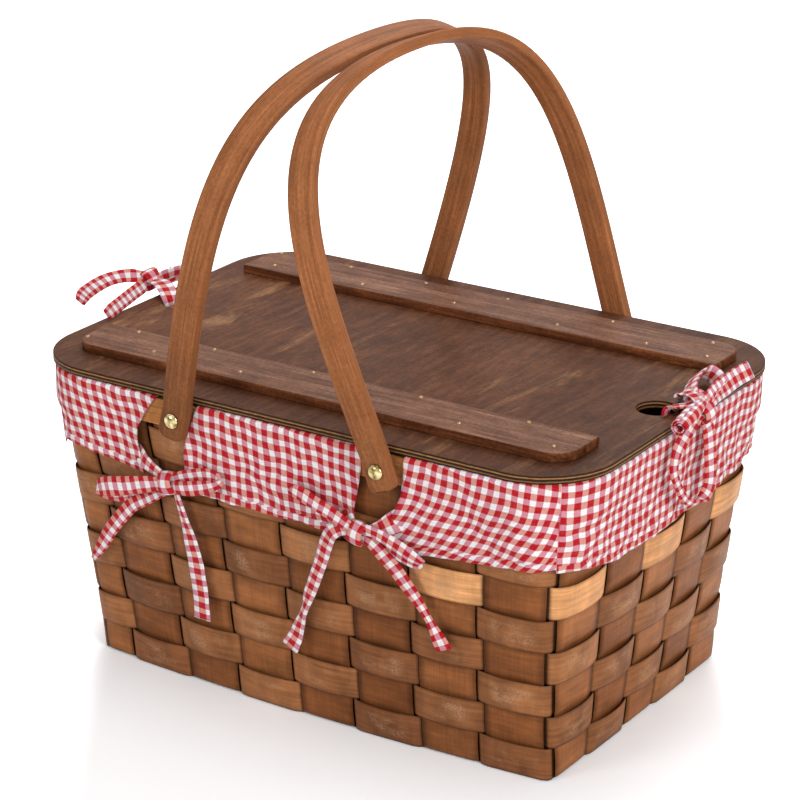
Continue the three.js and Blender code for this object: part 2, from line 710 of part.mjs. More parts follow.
// A strip through points, as wide as asked, lying along the across direction.
function tieStrip(points, across, steps, width = TIE_WIDTH) {
  const curve = new THREE.CatmullRomCurve3(points, false, 'centripetal');
  const rows = { face: [], back: [] };
  for (let i = 0; i <= steps; i++) {
    const centre = curve.getPointAt(i / steps);
    const tangent = curve.getTangentAt(i / steps);
    const wide = across.clone().addScaledVector(tangent, -across.dot(tangent)).normalize();
    const thin = new THREE.Vector3().crossVectors(tangent, wide);
    const edge = (w, t) => centre.clone().addScaledVector(wide, w).addScaledVector(thin, t);
    rows.face.push([edge(-width / 2, TIE_THICKNESS / 2), edge(width / 2, TIE_THICKNESS / 2)]);
    rows.back.push([edge(-width / 2, -TIE_THICKNESS / 2), edge(width / 2, -TIE_THICKNESS / 2)]);
  }
  return slab(rows.face, rows.back);
}

function knot(centre, size) {
  const ball = new THREE.SphereGeometry(1, KNOT_STEPS, KNOT_STEPS - 2);
  ball.scale(size.x, size.y, size.z);
  return ball.translate(centre.x, centre.y, centre.z);
}

const mid = (a, b) => (a + b) / 2;

// A bow on a long wall, in the wall's own frame: along the wall, up, and out from the cuff.
// A loop is given by its tip, a tail by the points that it passes.
function wallBow(run, along, shape) {
  const place = ([u, v, n]) => {
    const offset = CUFF_OUTSIDE + CLEARANCE + TIE_THICKNESS / 2 + n;
    return wallPoint(run, along + u * BOW_SCALE, CUFF_BOTTOM + v * BOW_SCALE, offset);
  };
  const up = new THREE.Vector3(0, 0, 1);
  const knotOut = CUFF_FOLD + KNOT_DEPTH - TIE_THICKNESS / 2;
  const middle = [0, KNOT_RISE, knotOut];
  const pieces = [knot(place(middle), new THREE.Vector3(KNOT_RADIUS, KNOT_DEPTH, KNOT_RADIUS))];
  for (const [u, v] of shape.loops) {
    const front = knotOut + LOOP_FRONT;
    const rear = knotOut - LOOP_REAR;
    const [nearRise, farRise] = [KNOT_RISE + v * 0.3, KNOT_RISE + v * 0.8];
    const line = [
      [0, KNOT_RISE, mid(front, knotOut)], [u * 0.35, nearRise + LOOP_SPREAD, front],
      [u * 0.8, farRise, front], [u, KNOT_RISE + v, knotOut], [u * 0.8, farRise, rear],
      [u * 0.35, nearRise - LOOP_SPREAD, rear], [0, KNOT_RISE, mid(rear, knotOut)],
    ];
    pieces.push(tieStrip(line.map(place), up, LOOP_STEPS));
  }
  const behind = [0, KNOT_RISE, mid(knotOut - LOOP_REAR, knotOut)];
  for (const tail of shape.tails) {
    const line = [behind, ...tail.map(([u, v]) => [u, v, CUFF_FOLD + CLEARANCE])];
    pieces.push(tieStrip(line.map(place), new THREE.Vector3(1, 0, 0.4), TAIL_STEPS));
  }
  for (const side of SIDES) {
    const reach = side * (SLIT_BOTTOM_WIDTH + TIE_WIDTH) / 2;
    const line = [behind, [reach * 0.6, 2 * KNOT_RISE, CUFF_FOLD], [reach, 2.5 * KNOT_RISE, CUFF_FOLD]];
    pieces.push(tieStrip(line.map(place), up, SHORT_TIE_STEPS, TIE_WIDTH * 0.7));
  }
  return join(pieces);
}

const LEFT_BOW = {
  loops: [[-60, -14], [44, 13]],
  tails: [[[-14, -11], [-45, -42], [-76, -75]], [[9, -8], [13, -28], [16, -62], [18, -95]]],
};
const RIGHT_BOW = {
  loops: [[-48, 19], [45, -9]],
  tails: [[[-10, -10], [-30, -45], [-44, -96]], [[8, -5], [34, -28], [47, -46], [58, -68]]],
};

// A bow at an end of the lid, round the strip of board between thumb hole and edge.
// Its frame: out from the lid's edge, along the edge, and up from the lid's top.
function lidBow(side, shape) {
  const place = ([out, along, up]) => new THREE.Vector3(side * (LID_LENGTH / 2 + out), along, LID_TOP + up);
  const grown = (point) => point.map((value) => value * BOW_SCALE);
  const middle = grown(shape.knot);
  const alongEdge = new THREE.Vector3(0, 1, 0);
  const lift = CLEARANCE + TIE_THICKNESS / 2;
  const hole = -THUMB_HOLE_EDGE - 3 * lift;
  const strap = [
    [hole, 0, -LID_THICKNESS], [hole, 0, -lift], [hole + lift, 0, lift], [-THUMB_HOLE_EDGE / 2, 0, lift],
    [0, middle[1] / 4, 1.2 * lift], middle,
  ];
  const pieces = [
    knot(place(middle), new THREE.Vector3(KNOT_RADIUS, KNOT_RADIUS, KNOT_RADIUS * 0.9)),
    tieStrip(strap.map(place), alongEdge, STRAP_STEPS, TIE_WIDTH * 0.7),
  ];
  for (const { points, across } of shape.strips) {
    const line = [middle, ...points.map(grown)].map(place);
    const wide = new THREE.Vector3(side * across[0], across[1], across[2]);
    pieces.push(tieStrip(line, wide, Math.round(points.length * STRIP_STEPS_PER_POINT)));
  }
  return join(pieces);
}

const RIGHT_LID_BOW = {
  knot: [8, 8, 1],
  strips: [
    {
      points: [[9, 18, -14], [8, 23, -38], [8, 6, -59], [8, -18, -44], [9, -14, -22], [8, 6, -2]],
      across: [1, 0, 0],
    },
    {
      points: [[0, 26, 15], [-16, 52, 14], [-19, 58, 9], [-13, 44, 5], [0, 20, 5], [7, 10, 4]],
      across: [1, 0.3, 0.2],
    },
    { points: [[12, -6, 10], [16, -20, 8], [17, -36, -1]], across: [1, 0, 0.3] },
    { points: [[9, 30, 9], [10, 52, 6], [10, 72, 6]], across: [0.4, 0, 1] },
  ],
};
const LEFT_LID_BOW = {
  knot: [8, 4, 4],
  strips: [
    { points: [[12, -14, 12], [16, -34, 12], [17, -54, 5]], across: [1, 0, 0.3] },
    { points: [[11, -10, 4], [10, -34, 5], [8, -62, 0]], across: [0.7, 0, 0.7] },
    {
      points: [[10, 20, 12], [8, 40, 10], [6, 44, 6], [6, 36, 3], [7, 16, 3], [8, 6, 4]],
      across: [0.3, 0, 1],
    },
    {
      points: [[13, 18, -1], [14, 40, -1], [13, 52, 1], [12, 40, 3], [11, 18, 3], [9, 6, 4]],
      across: [1, 0, 0],
    },
  ],
};

// Assembly

for (let j = 0; j < LONG_STAKES; j++) {
  const bores = rivetBores.filter((bore) => {
    bore.computeBoundingBox();
    const [start, end] = stakeEdges(FRONT, j, PIVOT_Z);
    const { min, max } = bore.boundingBox;
    return max.x > start && min.x < end;
  });
  const stake = crossStake(j);
  addMesh(`cross_stake_${j + 1}`, bores.length ? cut(stake, bores) : stake, COLOURS.stake);
}
for (let i = 0; i < END_STAKES; i++) addMesh(`long_stake_${i + 1}`, longStake(i), COLOURS.stake);
for (let row = 1; row <= WEAVER_ROWS; row++) addMesh(`weaver_row_${row}`, weaver(row), COLOURS.weaver);

addMesh('outer_rim_band', cut(rimBand(BAND_OUTSIDE, BAND_OFFSET), rivetBores), COLOURS.band);
addMesh('inner_rim_band', cut(rimBand(-BAND_OFFSET, -BAND_INSIDE), rivetBores), COLOURS.band);
addMesh('lining_bag', liningBag(), COLOURS.cloth, 0.9);
addMesh('front_cuff', middleCuff(FRONT), COLOURS.cloth, 0.9);
addMesh('right_cuff', endCuff(RIGHT), COLOURS.cloth, 0.9);
addMesh('back_cuff', middleCuff(BACK), COLOURS.cloth, 0.9);
addMesh('left_cuff', endCuff(LEFT), COLOURS.cloth, 0.9);

const lid = new THREE.Group();
lid.position.z = LID_BOTTOM;
group.add(lid);
addMesh('lid_board', lidBoard(), COLOURS.lid, 0.4, 0, lid);
for (const [name, side] of [['front_batten', -1], ['back_batten', 1]]) {
  const y = side * (LID_WIDTH / 2 - BATTEN_EDGE_MARGIN - BATTEN_WIDTH / 2);
  addMesh(name, batten(side), COLOURS.batten, 0.4, 0, lid).position.set(0, y, LID_THICKNESS + SEAT_GAP);
}
addMesh('right_lid_bow', lidBow(1, RIGHT_LID_BOW), COLOURS.tie, 0.9);
addMesh('left_lid_bow', lidBow(-1, LEFT_LID_BOW), COLOURS.tie, 0.9);

const handles = [
  { name: 'left_handle', side: -1, arch: LEFT_ARCH },
  { name: 'right_handle', side: 1, arch: RIGHT_ARCH },
];
for (const { name, side, arch } of handles) {
  const handle = addMesh(name, archHandle(arch), COLOURS.handle, 0.5);
  handle.position.set(side * PIVOT_X, 0, PIVOT_Z);
  handle.rotation.y = -side * Math.asin(arch.inward / arch.top);
  for (const [wallName, wallSide] of [['front', -1], ['back', 1]]) {
    const place = (mesh) => {
      mesh.position.set(side * PIVOT_X, 0, PIVOT_Z);
      if (wallSide < 0) mesh.rotation.z = Math.PI;
    };
    const label = `${name.split('_')[0]}_${wallName}`;
    const washer = washerRing(WASHER_DIAMETER, WASHER_INSIDE, WASHER_THICKNESS);
    const burr = washerRing(BURR_DIAMETER, BURR_INSIDE, BURR_THICKNESS);
    place(addMesh(`${label}_rivet`, rivet(), COLOURS.brass, 0.25, 1));
    place(addMesh(`${label}_washer`, washer, COLOURS.brass, 0.3, 1));
    place(addMesh(`${label}_burr`, burr, COLOURS.brass, 0.3, 1));
  }
}

const bows = [
  { name: 'front_left_bow', run: FRONT, handleSide: -1, shape: LEFT_BOW },
  { name: 'front_right_bow', run: FRONT, handleSide: 1, shape: RIGHT_BOW },
  { name: 'back_right_bow', run: BACK, handleSide: -1, shape: LEFT_BOW },
  { name: 'back_left_bow', run: BACK, handleSide: 1, shape: RIGHT_BOW },
];
for (const { name, run, handleSide, shape } of bows) {
  const [start, end] = slitEdges(handleSide, CUFF_BOTTOM);
  addMesh(name, wallBow(run, (start + end) / 2, shape), COLOURS.tie, 0.9);
}

export default group;
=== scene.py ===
# Picnic basket: woven splints, gingham lining and bows, plywood lid and bentwood handles
# Lengths are in millimetres until a mesh is made. X runs along the basket, -Y is the front, Z is up.
import math
from collections import namedtuple
from functools import lru_cache

import bpy
import numpy as np
from mathutils import Matrix, Vector, geometry, noise


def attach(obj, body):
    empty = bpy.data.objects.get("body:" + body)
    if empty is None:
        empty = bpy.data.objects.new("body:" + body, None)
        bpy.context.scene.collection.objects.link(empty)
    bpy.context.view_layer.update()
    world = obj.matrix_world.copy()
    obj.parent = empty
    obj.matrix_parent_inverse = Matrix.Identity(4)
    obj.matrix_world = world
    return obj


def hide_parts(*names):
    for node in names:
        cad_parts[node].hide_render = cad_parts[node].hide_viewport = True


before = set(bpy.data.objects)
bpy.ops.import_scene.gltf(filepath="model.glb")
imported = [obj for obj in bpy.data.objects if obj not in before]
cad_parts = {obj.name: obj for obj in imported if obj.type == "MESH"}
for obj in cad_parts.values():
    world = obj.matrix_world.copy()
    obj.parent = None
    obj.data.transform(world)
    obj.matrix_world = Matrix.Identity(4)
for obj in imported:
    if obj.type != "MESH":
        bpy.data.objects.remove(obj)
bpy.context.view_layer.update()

MM = 0.001
UP = np.array([0.0, 0.0, 1.0])

# Woven body, on the middle surface of the upright stakes. Between its corners each wall bows out a little.
MIDDLE_BASE_LENGTH, MIDDLE_BASE_WIDTH = 358.0, 231.0
CORNER_BASE_LENGTH, CORNER_BASE_WIDTH = 357.2, 217.0
TOP_LENGTH, TOP_WIDTH = 410.0, 277.0
LENGTH_FLARE, WIDTH_FLARE, RADIUS_FLARE = 1.8, 1.2, 2.6
RIM_HEIGHT = 210.0
BASE_CORNER_RADIUS, TOP_CORNER_RADIUS = 6.0, 50.0
LONG_STAKES, END_STAKES, WEAVER_ROWS = 8, 5, 8
# The stake at the front wall's left end shows only this share of a stake
NARROW_SHARE = 0.63
SPLINT_THICKNESS = 1.2
WEAVE_RISE = 1.5
FLOOR_MID = 2.1
STAKE_GAP, STAKE_CORNER_GAP, STAKE_BEND = 6.0, 3.6, 2.4
# A weaver's part at the end of a wall reaches this far round the corner
CORNER_WRAP = 2.0
STAKE_FOOT, STAKE_ROWS = 1.2, 56
# How far a stake swells out where it passes over a weaver, and in where it passes under
STAKE_SWELL, STAKE_DIP = 0.6, 0.2
ROWS_BOTTOM, ROW_HEIGHT, ROW_GAP = 0.4, 23.3, 0.7
WEAVER_CROWN = 2.2
HIDDEN_CROWN = 0.6
# The lowest row lies closer to the stakes at the table
FOOT_LEVEL, FOOT_HEIGHT = 1.3, 14.0
FRONT, RIGHT, BACK, LEFT = 0, 1, 2, 3
STAKE_COUNTS = {FRONT: LONG_STAKES, RIGHT: END_STAKES, BACK: LONG_STAKES, LEFT: END_STAKES}

# Cloth
CLOTH_THICKNESS = 1.0
CUFF_TOP = 211.4
CUFF_OUT = 4.5
# The cuff's least distance out of the wall below the rim band
CUFF_NEAREST = 3.4
# The rim band follows straight walls that rise from this base
BAND_BASE_LENGTH, BAND_BASE_WIDTH = 354.0, 221.0
# Foot of the band, and the cloth's distance out of those walls where it hangs over the band
BAND_BOTTOM, BAND_CLEAR = 191.0, 4.3
CUFF_LIP_OFFSET, CUFF_LIP_BOTTOM = -4.4, 203.5
CUFF_HEM = 5.5
LINING_INSET = 8.6
LINING_TOP = 209.0
LINING_FLOOR, LINING_HALF_FLOOR = 5.2, 160.0
CHECK_PERIOD, THREAD_PERIOD = 8.3, 0.45
# How far the edges of the checks stray over the cloth, and from thread to thread
CHECK_WANDER, CHECK_FRAY = 1.6, 0.7
TIE_WIDTH, TIE_THICKNESS = 10.0, 1.7
WALL_KNOT_RADII, WALL_KNOT_WIDTH = (7.0, 4.8), 10.5
# Rows of a tie from one stop to the next, and round a knot
STRIP_STEPS, KNOT_STEPS = 5, 16

# Lid
LID_LENGTH, LID_WIDTH = 420.0, 284.0
LID_BOTTOM, LID_TOP = 211.8, 217.3
LID_CORNER_RADIUS = 50.0
THUMB_HOLE_X, THUMB_HOLE_RADIUS = 187.0, 13.0
BATTEN_LENGTH, BATTEN_WIDTH, BATTEN_Y = 378.0, 41.0, 95.0
BATTEN_BOTTOM, BATTEN_TOP = 217.35, 223.35
BATTEN_CORNER_RADIUS = 16.0
BRAD_DIAMETER, BRAD_HEIGHT, BRAD_SINK, BRAD_STRAY = 3.2, 1.0, 0.2, 1.5

# Handles and rivets
PIVOT_X, PIVOT_Z = 78.0, 202.0
LEG_INSIDE, HANDLE_THICKNESS, HANDLE_WIDTH = 145.0, 7.5, 19.0
LEG_MIDDLE = LEG_INSIDE + HANDLE_THICKNESS / 2
HANDLE_STRAIGHT = 9.0
HANDLE_FOOT, HANDLE_FOOT_CORNER = 13.0, 5.0
HANDLE_ROUNDING = 1.2
ARCHES = {
    -1: {"top": 227.75, "shoulder": (23.5, 168.0), "crown_reach": 1.5, "inward": 54.44},
    1: {"top": 234.75, "shoulder": (8.0, 120.5), "crown_reach": 36.5, "inward": 78.26},
}
# Shade of each arch at its feet and above them
HANDLE_SHADES = {-1: (0.7, 0.97), 1: (0.96, 1.07)}
FOOT_FADE = (15.0, 90.0)
RIVET_RADIUS, RIVET_HEIGHT, RIVET_SEAT = 5.3, 3.0, 152.6
RIVET_SHANK, RIVET_END, RIVET_TAIL = 2.5, 3.6, 130.4
# Turned shapes start at this radius beside their axis, with these many points round it
TURNED_START, BRAD_STEPS, RIVET_STEPS = 0.05, 14, 28


# Basket walls

def mix(a, b, share):
    return a + (b - a) * share


def smooth_step(start, end, value):
    t = min(1.0, max(0.0, (value - start) / (end - start)))
    return t * t * (3 - 2 * t)


Run = namedtuple("Run", "flat reach radius depth bow")


@lru_cache(maxsize=None)
def run_at(run, z):
    """One wall at a height.

    Half its flat length, the arc length to its corner's middle, the corner radius, the depth and the bow.
    """
    rise = max(0.0, (z - FLOOR_MID) / (RIM_HEIGHT - FLOOR_MID))
    radius = mix(BASE_CORNER_RADIUS, TOP_CORNER_RADIUS, rise ** RADIUS_FLARE)
    length = mix(CORNER_BASE_LENGTH, TOP_LENGTH, rise ** LENGTH_FLARE) / 2
    width = mix(CORNER_BASE_WIDTH, TOP_WIDTH, rise ** WIDTH_FLARE) / 2
    if run in (FRONT, BACK):
        flat, depth, middle = length - radius, width, mix(MIDDLE_BASE_WIDTH, TOP_WIDTH, rise) / 2
    else:
        flat, depth, middle = width - radius, length, mix(MIDDLE_BASE_LENGTH, TOP_LENGTH, rise) / 2
    return Run(flat, flat + radius * math.pi / 4, radius, depth, middle - depth)


def wall_point(run, arc, z, offset=0.0):
    """A place on a wall: arc length from the wall's middle, height, and distance out of the wall."""
    flat, _, radius, depth, bow = run_at(run, float(z))
    angle = max(0.0, abs(arc) - flat) / radius
    straight = min(abs(arc), flat)
    along = math.copysign(straight + (radius + offset) * math.sin(angle), arc)
    out = depth - radius + (radius + offset) * math.cos(angle) + bow * (1 - (straight / flat) ** 2)
    if run == FRONT:
        return np.array([along, -out, z])
    if run == RIGHT:
        return np.array([out, along, z])
    if run == BACK:
        return np.array([-along, out, z])
    return np.array([-out, -along, z])


def wall_normal(run, arc, z):
    return wall_point(run, arc, z, 1.0) - wall_point(run, arc, z)


def stake_edges(run, index, z):
    if run == BACK:
        start, end = stake_edges(FRONT, LONG_STAKES - 1 - index, z)
        return -end, -start
    reach = run_at(run, float(z)).reach - STAKE_CORNER_GAP
    missing = 1 - NARROW_SHARE if run == FRONT else 0.0
    pitch = (2 * reach + STAKE_GAP) / (STAKE_COUNTS[run] - missing)
    start = -reach + max(0.0, index - missing) * pitch
    return start, -reach + (index + 1 - missing) * pitch - STAKE_GAP


def chance(*numbers):
    """A fixed number between 0 and 1 for a place in the basket."""
    seed = 0
    for number in numbers:
        seed = seed * 101 + number + 7
    return np.random.RandomState(seed % 100003).rand()


def wave(x, y=0.0, z=0.0):
    return noise.noise(Vector((x, y, z)))


# Mesh building

class Shell:
    """Closed shapes of one piece.

    Each corner of a face has a flat place, and each point has a tone and an edge value. On the splints the
    edge value carries painted shade above 0 and painted sheen below 0.
    """

    def __init__(self):
        self.points, self.faces, self.flats, self.tones, self.edges = [], [], [], [], []

    def add(self, points, faces, flats, tones, edges):
        points = np.asarray(points, float)
        volume = 0.0
        for face in faces:
            corners = points[list(face)]
            for k in range(1, len(face) - 1):
                volume += np.dot(corners[0], np.cross(corners[k], corners[k + 1]))
        start = len(self.points)
        self.points.extend(points)
        self.tones.extend(tones)
        self.edges.extend(edges)
        for face, flat in zip(faces, flats):
            if volume < 0:
                face, flat = face[::-1], flat[::-1]
            self.faces.append(tuple(start + i for i in face))
            self.flats.extend(flat)

    def tube(self, rings, along, around, closed=False, span=0.0, tones=0.5, edges=0.0):
        """A shape through rings of equal point count. The two halves of a ring are the face and the back."""
        rings = np.asarray(rings, float)
        count, size, _ = rings.shape
        along = np.broadcast_to(np.asarray(along, float).reshape(count, -1), (count, size))
        around = np.broadcast_to(np.asarray(around, float), (count, size))
        tones = np.broadcast_to(np.asarray(tones, float).reshape(-1, 1), (count, size)).ravel()
        edges = np.broadcast_to(np.asarray(edges, float), (count, size)).ravel()
        faces, flats = [], []
        for i in range(count if closed else count - 1):
            k = (i + 1) % count
            extra = span if k == 0 else 0.0
            for j in range(size):
                n = (j + 1) % size
                faces.append((i * size + j, i * size + n, k * size + n, k * size + j))
                flats.append([(along[i, j], around[i, j]), (along[i, n], around[i, n]),
                              (along[k, n] + extra, around[k, n]), (along[k, j] + extra, around[k, j])])
        if not closed:
            for i, turn in ((0, -1), (count - 1, 1)):
                for j in range(size // 2 - 1):
                    ring = [j, j + 1, size - 2 - j, size - 1 - j][::turn]
                    faces.append(tuple(i * size + k for k in ring))
                    flats.append([(along[i, k], around[i, k]) for k in ring])
        self.add(rings.reshape(-1, 3), faces, flats, tones, edges)

    def piece(self, name, body, slot, materials, replaces=(), sharp=None):
        mesh = bpy.data.meshes.new(name)
        mesh.from_pydata([tuple(p * MM) for p in self.points], [], self.faces)
        layer = mesh.uv_layers.new(name="flat")
        layer.data.foreach_set("uv", (np.asarray(self.flats, np.float32) * MM).ravel())
        for label, values in (("tone", self.tones), ("edge", self.edges)):
            attribute = mesh.attributes.new(label, "FLOAT", "POINT")
            attribute.data.foreach_set("value", np.asarray(values, np.float32))
        mesh.shade_smooth()
        if sharp is not None:
            mesh.set_sharp_from_angle(angle=math.radians(sharp))
        piece = bpy.data.objects.new(name, mesh)
        bpy.context.collection.objects.link(piece)
        for material in materials:
            mesh.materials.append(material)
        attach(piece, body)
        if replaces:
            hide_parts(*replaces)
        return piece


def smooth_line(stops, steps):
    """A smooth line through stops, each a row of numbers."""
    stops = np.asarray(stops, float)
    padded = np.vstack([2 * stops[0] - stops[1], stops, 2 * stops[-1] - stops[-2]])
    rows = []
    for i in range(len(stops) - 1):
        a, b, c, d = padded[i:i + 4]
        for t in np.arange(steps) / steps:
            rows.append(0.5 * (2 * b + (c - a) * t + (2 * a - 5 * b + 4 * c - d) * t * t
                               + (3 * b - a - 3 * c + d) * t ** 3))
    rows.append(stops[-1])
    return np.array(rows)


def walked(points):
    steps = np.linalg.norm(np.diff(points, axis=0), axis=1)
    return np.concatenate([[0.0], np.cumsum(steps)])


def unit(vector):
    return vector / np.linalg.norm(vector)


def upright(axis):
    """The direction nearest to up that is square to an axis."""
    return unit(UP - axis * axis[2])


def skin(points, sides, half):
    """A ring of a thin sheet: its face, then its back the other way."""
    return np.vstack([points + sides * half[:, None], (points - sides * half[:, None])[::-1]])


def both_ways(values):
    """Values along the face of a ring, and the same ones along its back."""
    return np.concatenate([values, values[::-1]])


FLAT_WIDTHS = np.array([-0.5, -0.46, -0.25, 0.0, 0.25, 0.46, 0.5])
FLAT_HEIGHTS = np.array([0.2, 0.8, 1.0, 1.0, 1.0, 0.8, 0.2])


def flat_section(width, thickness):
    """Section of a flat strip with soft edges: across and through, face first, then the back."""
    face = np.stack([FLAT_WIDTHS * width, FLAT_HEIGHTS * thickness / 2], axis=1)
    back = face[::-1] * [1, -1]
    return np.vstack([face, back])


# Materials

def srgb(red, green, blue):
    def linear(value):
        value /= 255
        return value / 12.92 if value <= 0.04045 else ((value + 0.055) / 1.055) ** 2.4
    return (linear(red), linear(green), linear(blue), 1.0)


class Nodes:
    """The node tree of a new material or world, with short calls for the nodes used here."""

    def __init__(self, name, owners=bpy.data.materials):
        self.owner = owners.new(name)
        self.owner.use_nodes = True
        self.tree = self.owner.node_tree
        self.shader = self.tree.nodes.get("Principled BSDF")

    def add(self, kind, *inputs, **settings):
        node = self.tree.nodes.new(kind)
        for key, value in settings.items():
            setattr(node, key, value)
        for index, value in enumerate(inputs):
            if value is not None:
                self.put(node.inputs[index], value)
        return node

    def put(self, socket, value):
        if isinstance(value, bpy.types.NodeSocket):
            self.tree.links.new(value, socket)
        else:
            socket.default_value = value

    def math(self, operation, *inputs):
        return self.add("ShaderNodeMath", *inputs, operation=operation).outputs[0]

    def plus(self, a, b):
        return self.math("ADD", a, b)

    def times(self, a, b):
        return self.math("MULTIPLY", a, b)

    def fit(self, value, low, high, to_low=0.0, to_high=1.0, curve="SMOOTHSTEP"):
        return self.add("ShaderNodeMapRange", value, low, high, to_low, to_high,
                        interpolation_type=curve).outputs[0]

    def noise(self, vector, scale, detail=4.0, roughness=0.6, distortion=0.0):
        """Noise with one scale, or with one for each axis."""
        if isinstance(scale, tuple):
            vector = self.add("ShaderNodeMapping", vector, None, None, scale).outputs[0]
            scale = 1.0
        node = self.add("ShaderNodeTexNoise", vector)
        node.inputs["Scale"].default_value = scale
        node.inputs["Detail"].default_value = detail
        node.inputs["Roughness"].default_value = roughness
        node.inputs["Distortion"].default_value = distortion
        return node.outputs["Fac"]

    def ramp(self, value, stops, curve="LINEAR"):
        node = self.add("ShaderNodeValToRGB", value)
        node.color_ramp.interpolation = curve
        elements = node.color_ramp.elements
        while len(elements) < len(stops):
            elements.new(1.0)
        for element, (position, colour) in zip(elements, stops):
            element.position = position
            element.color = colour
        return node.outputs[0]

    def blend(self, share, a, b, mode="MIX"):
        node = self.add("ShaderNodeMix", data_type="RGBA", blend_type=mode)
        self.put(node.inputs["Factor"], share)
        self.put(node.inputs["A"], a)
        self.put(node.inputs["B"], b)
        return node.outputs["Result"]

    def shade(self, colour, value):
        """A colour made lighter or darker by a number."""
        grey = self.add("ShaderNodeCombineColor", value, value, value).outputs[0]
        return self.blend(1.0, colour, grey, "MULTIPLY")

    def vary(self, colour, value, low, high, dark, light):
        """A colour darker where a value is low and lighter where it is high."""
        return self.shade(colour, self.fit(value, low, high, dark, light, "LINEAR"))

    def bump(self, height, depth, strength=1.0):
        node = self.add("ShaderNodeBump")
        node.inputs["Strength"].default_value = strength
        node.inputs["Distance"].default_value = depth * MM
        self.put(node.inputs["Height"], height)
        self.put(self.shader.inputs["Normal"], node.outputs[0])

    def finish(self, colour, roughness, **constants):
        self.put(self.shader.inputs["Base Color"], colour)
        self.put(self.shader.inputs["Roughness"], roughness)
        for key, value in constants.items():
            self.shader.inputs[key.replace("_", " ")].default_value = value
        return self.owner

    def flat(self):
        return self.add("ShaderNodeUVMap", uv_map="flat").outputs[0]

    def attribute(self, name):
        return self.add("ShaderNodeAttribute", attribute_name=name).outputs["Fac"]

    def place(self):
        return self.add("ShaderNodeTexCoord").outputs["Object"]

    def seen_directly(self):
        """1 where the camera sees a place, also by reflection or through glass, and 0 for its light."""
        path = self.add("ShaderNodeLightPath").outputs
        seen = self.math("MAXIMUM", path["Is Camera Ray"], path["Is Glossy Ray"])
        return self.math("MAXIMUM", seen, path["Is Transmission Ray"])


STAKE_TONES = [(0.0, srgb(108, 62, 33)), (0.35, srgb(136, 82, 46)), (0.7, srgb(158, 99, 58)),
               (1.0, srgb(182, 119, 72))]
WEAVER_TONES = [(0.0, srgb(112, 69, 42)), (0.3, srgb(136, 86, 53)), (0.6, srgb(156, 102, 64)),
                (0.85, srgb(180, 121, 76)), (1.0, srgb(228, 166, 112))]
# Pale colour of the painted sheen on the crowns of the bricks
SPLINT_SHEEN = srgb(192, 150, 114)


def splint_material(name, tones, grain_share, cross_share):
    """Thin stained splints. Below 0 the edge value is the share of painted sheen, above 0 the painted shade
    at edges, in clefts and where a splint passes under another.
    """
    nodes = Nodes(name)
    flat = nodes.flat()
    tone = nodes.attribute("tone")
    edge = nodes.attribute("edge")
    lift = nodes.add("ShaderNodeCombineXYZ", 0.0, 0.0, nodes.times(tone, 9.0)).outputs[0]
    shifted = nodes.add("ShaderNodeVectorMath", flat, lift, operation="ADD").outputs[0]
    grain = nodes.noise(shifted, (22.0, 420.0, 1.0), detail=5.0)
    fibre = nodes.noise(shifted, (110.0, 2600.0, 1.0), detail=2.0)
    smoke = nodes.noise(shifted, (55.0, 22.0, 1.0), detail=3.0, roughness=0.55)
    speck = nodes.noise(shifted, (800.0, 1300.0, 1.0), detail=3.0, roughness=0.7)
    patch = nodes.noise(shifted, (45.0, 70.0, 1.0), detail=3.0)
    cross = nodes.noise(shifted, (420.0, 30.0, 1.0), detail=4.0)
    colour = nodes.ramp(tone, tones)
    colour = nodes.vary(colour, grain, 0.25, 0.75, 1 - grain_share, 1 + grain_share)
    colour = nodes.vary(colour, cross, 0.25, 0.75, 1 - cross_share, 1 + cross_share)
    colour = nodes.vary(colour, fibre, 0.3, 0.7, 0.9, 1.09)
    colour = nodes.vary(colour, smoke, 0.32, 0.68, 0.7, 1.2)
    # Painted sheen: pale specks in patches on the brick crowns, where the edge value is below 0
    wear_and_sheen = nodes.times(nodes.fit(edge, 0.0, -1.0), nodes.fit(patch, 0.42, 0.68))
    wear_and_sheen = nodes.times(wear_and_sheen, nodes.fit(speck, 0.4, 0.6, 0.02, 0.72, "LINEAR"))
    colour = nodes.blend(wear_and_sheen, colour, SPLINT_SHEEN)
    # Painted shade: darker where the edge value is above 0, at edges, in clefts and under other splints
    colour = nodes.vary(colour, edge, 0.0, 1.0, 1.0, 0.14)
    nodes.bump(nodes.plus(grain, nodes.times(speck, 0.5)), 0.22)
    return nodes.finish(colour, nodes.fit(speck, 0.3, 0.7, 0.52, 0.4, "LINEAR"), Specular_IOR_Level=0.07)


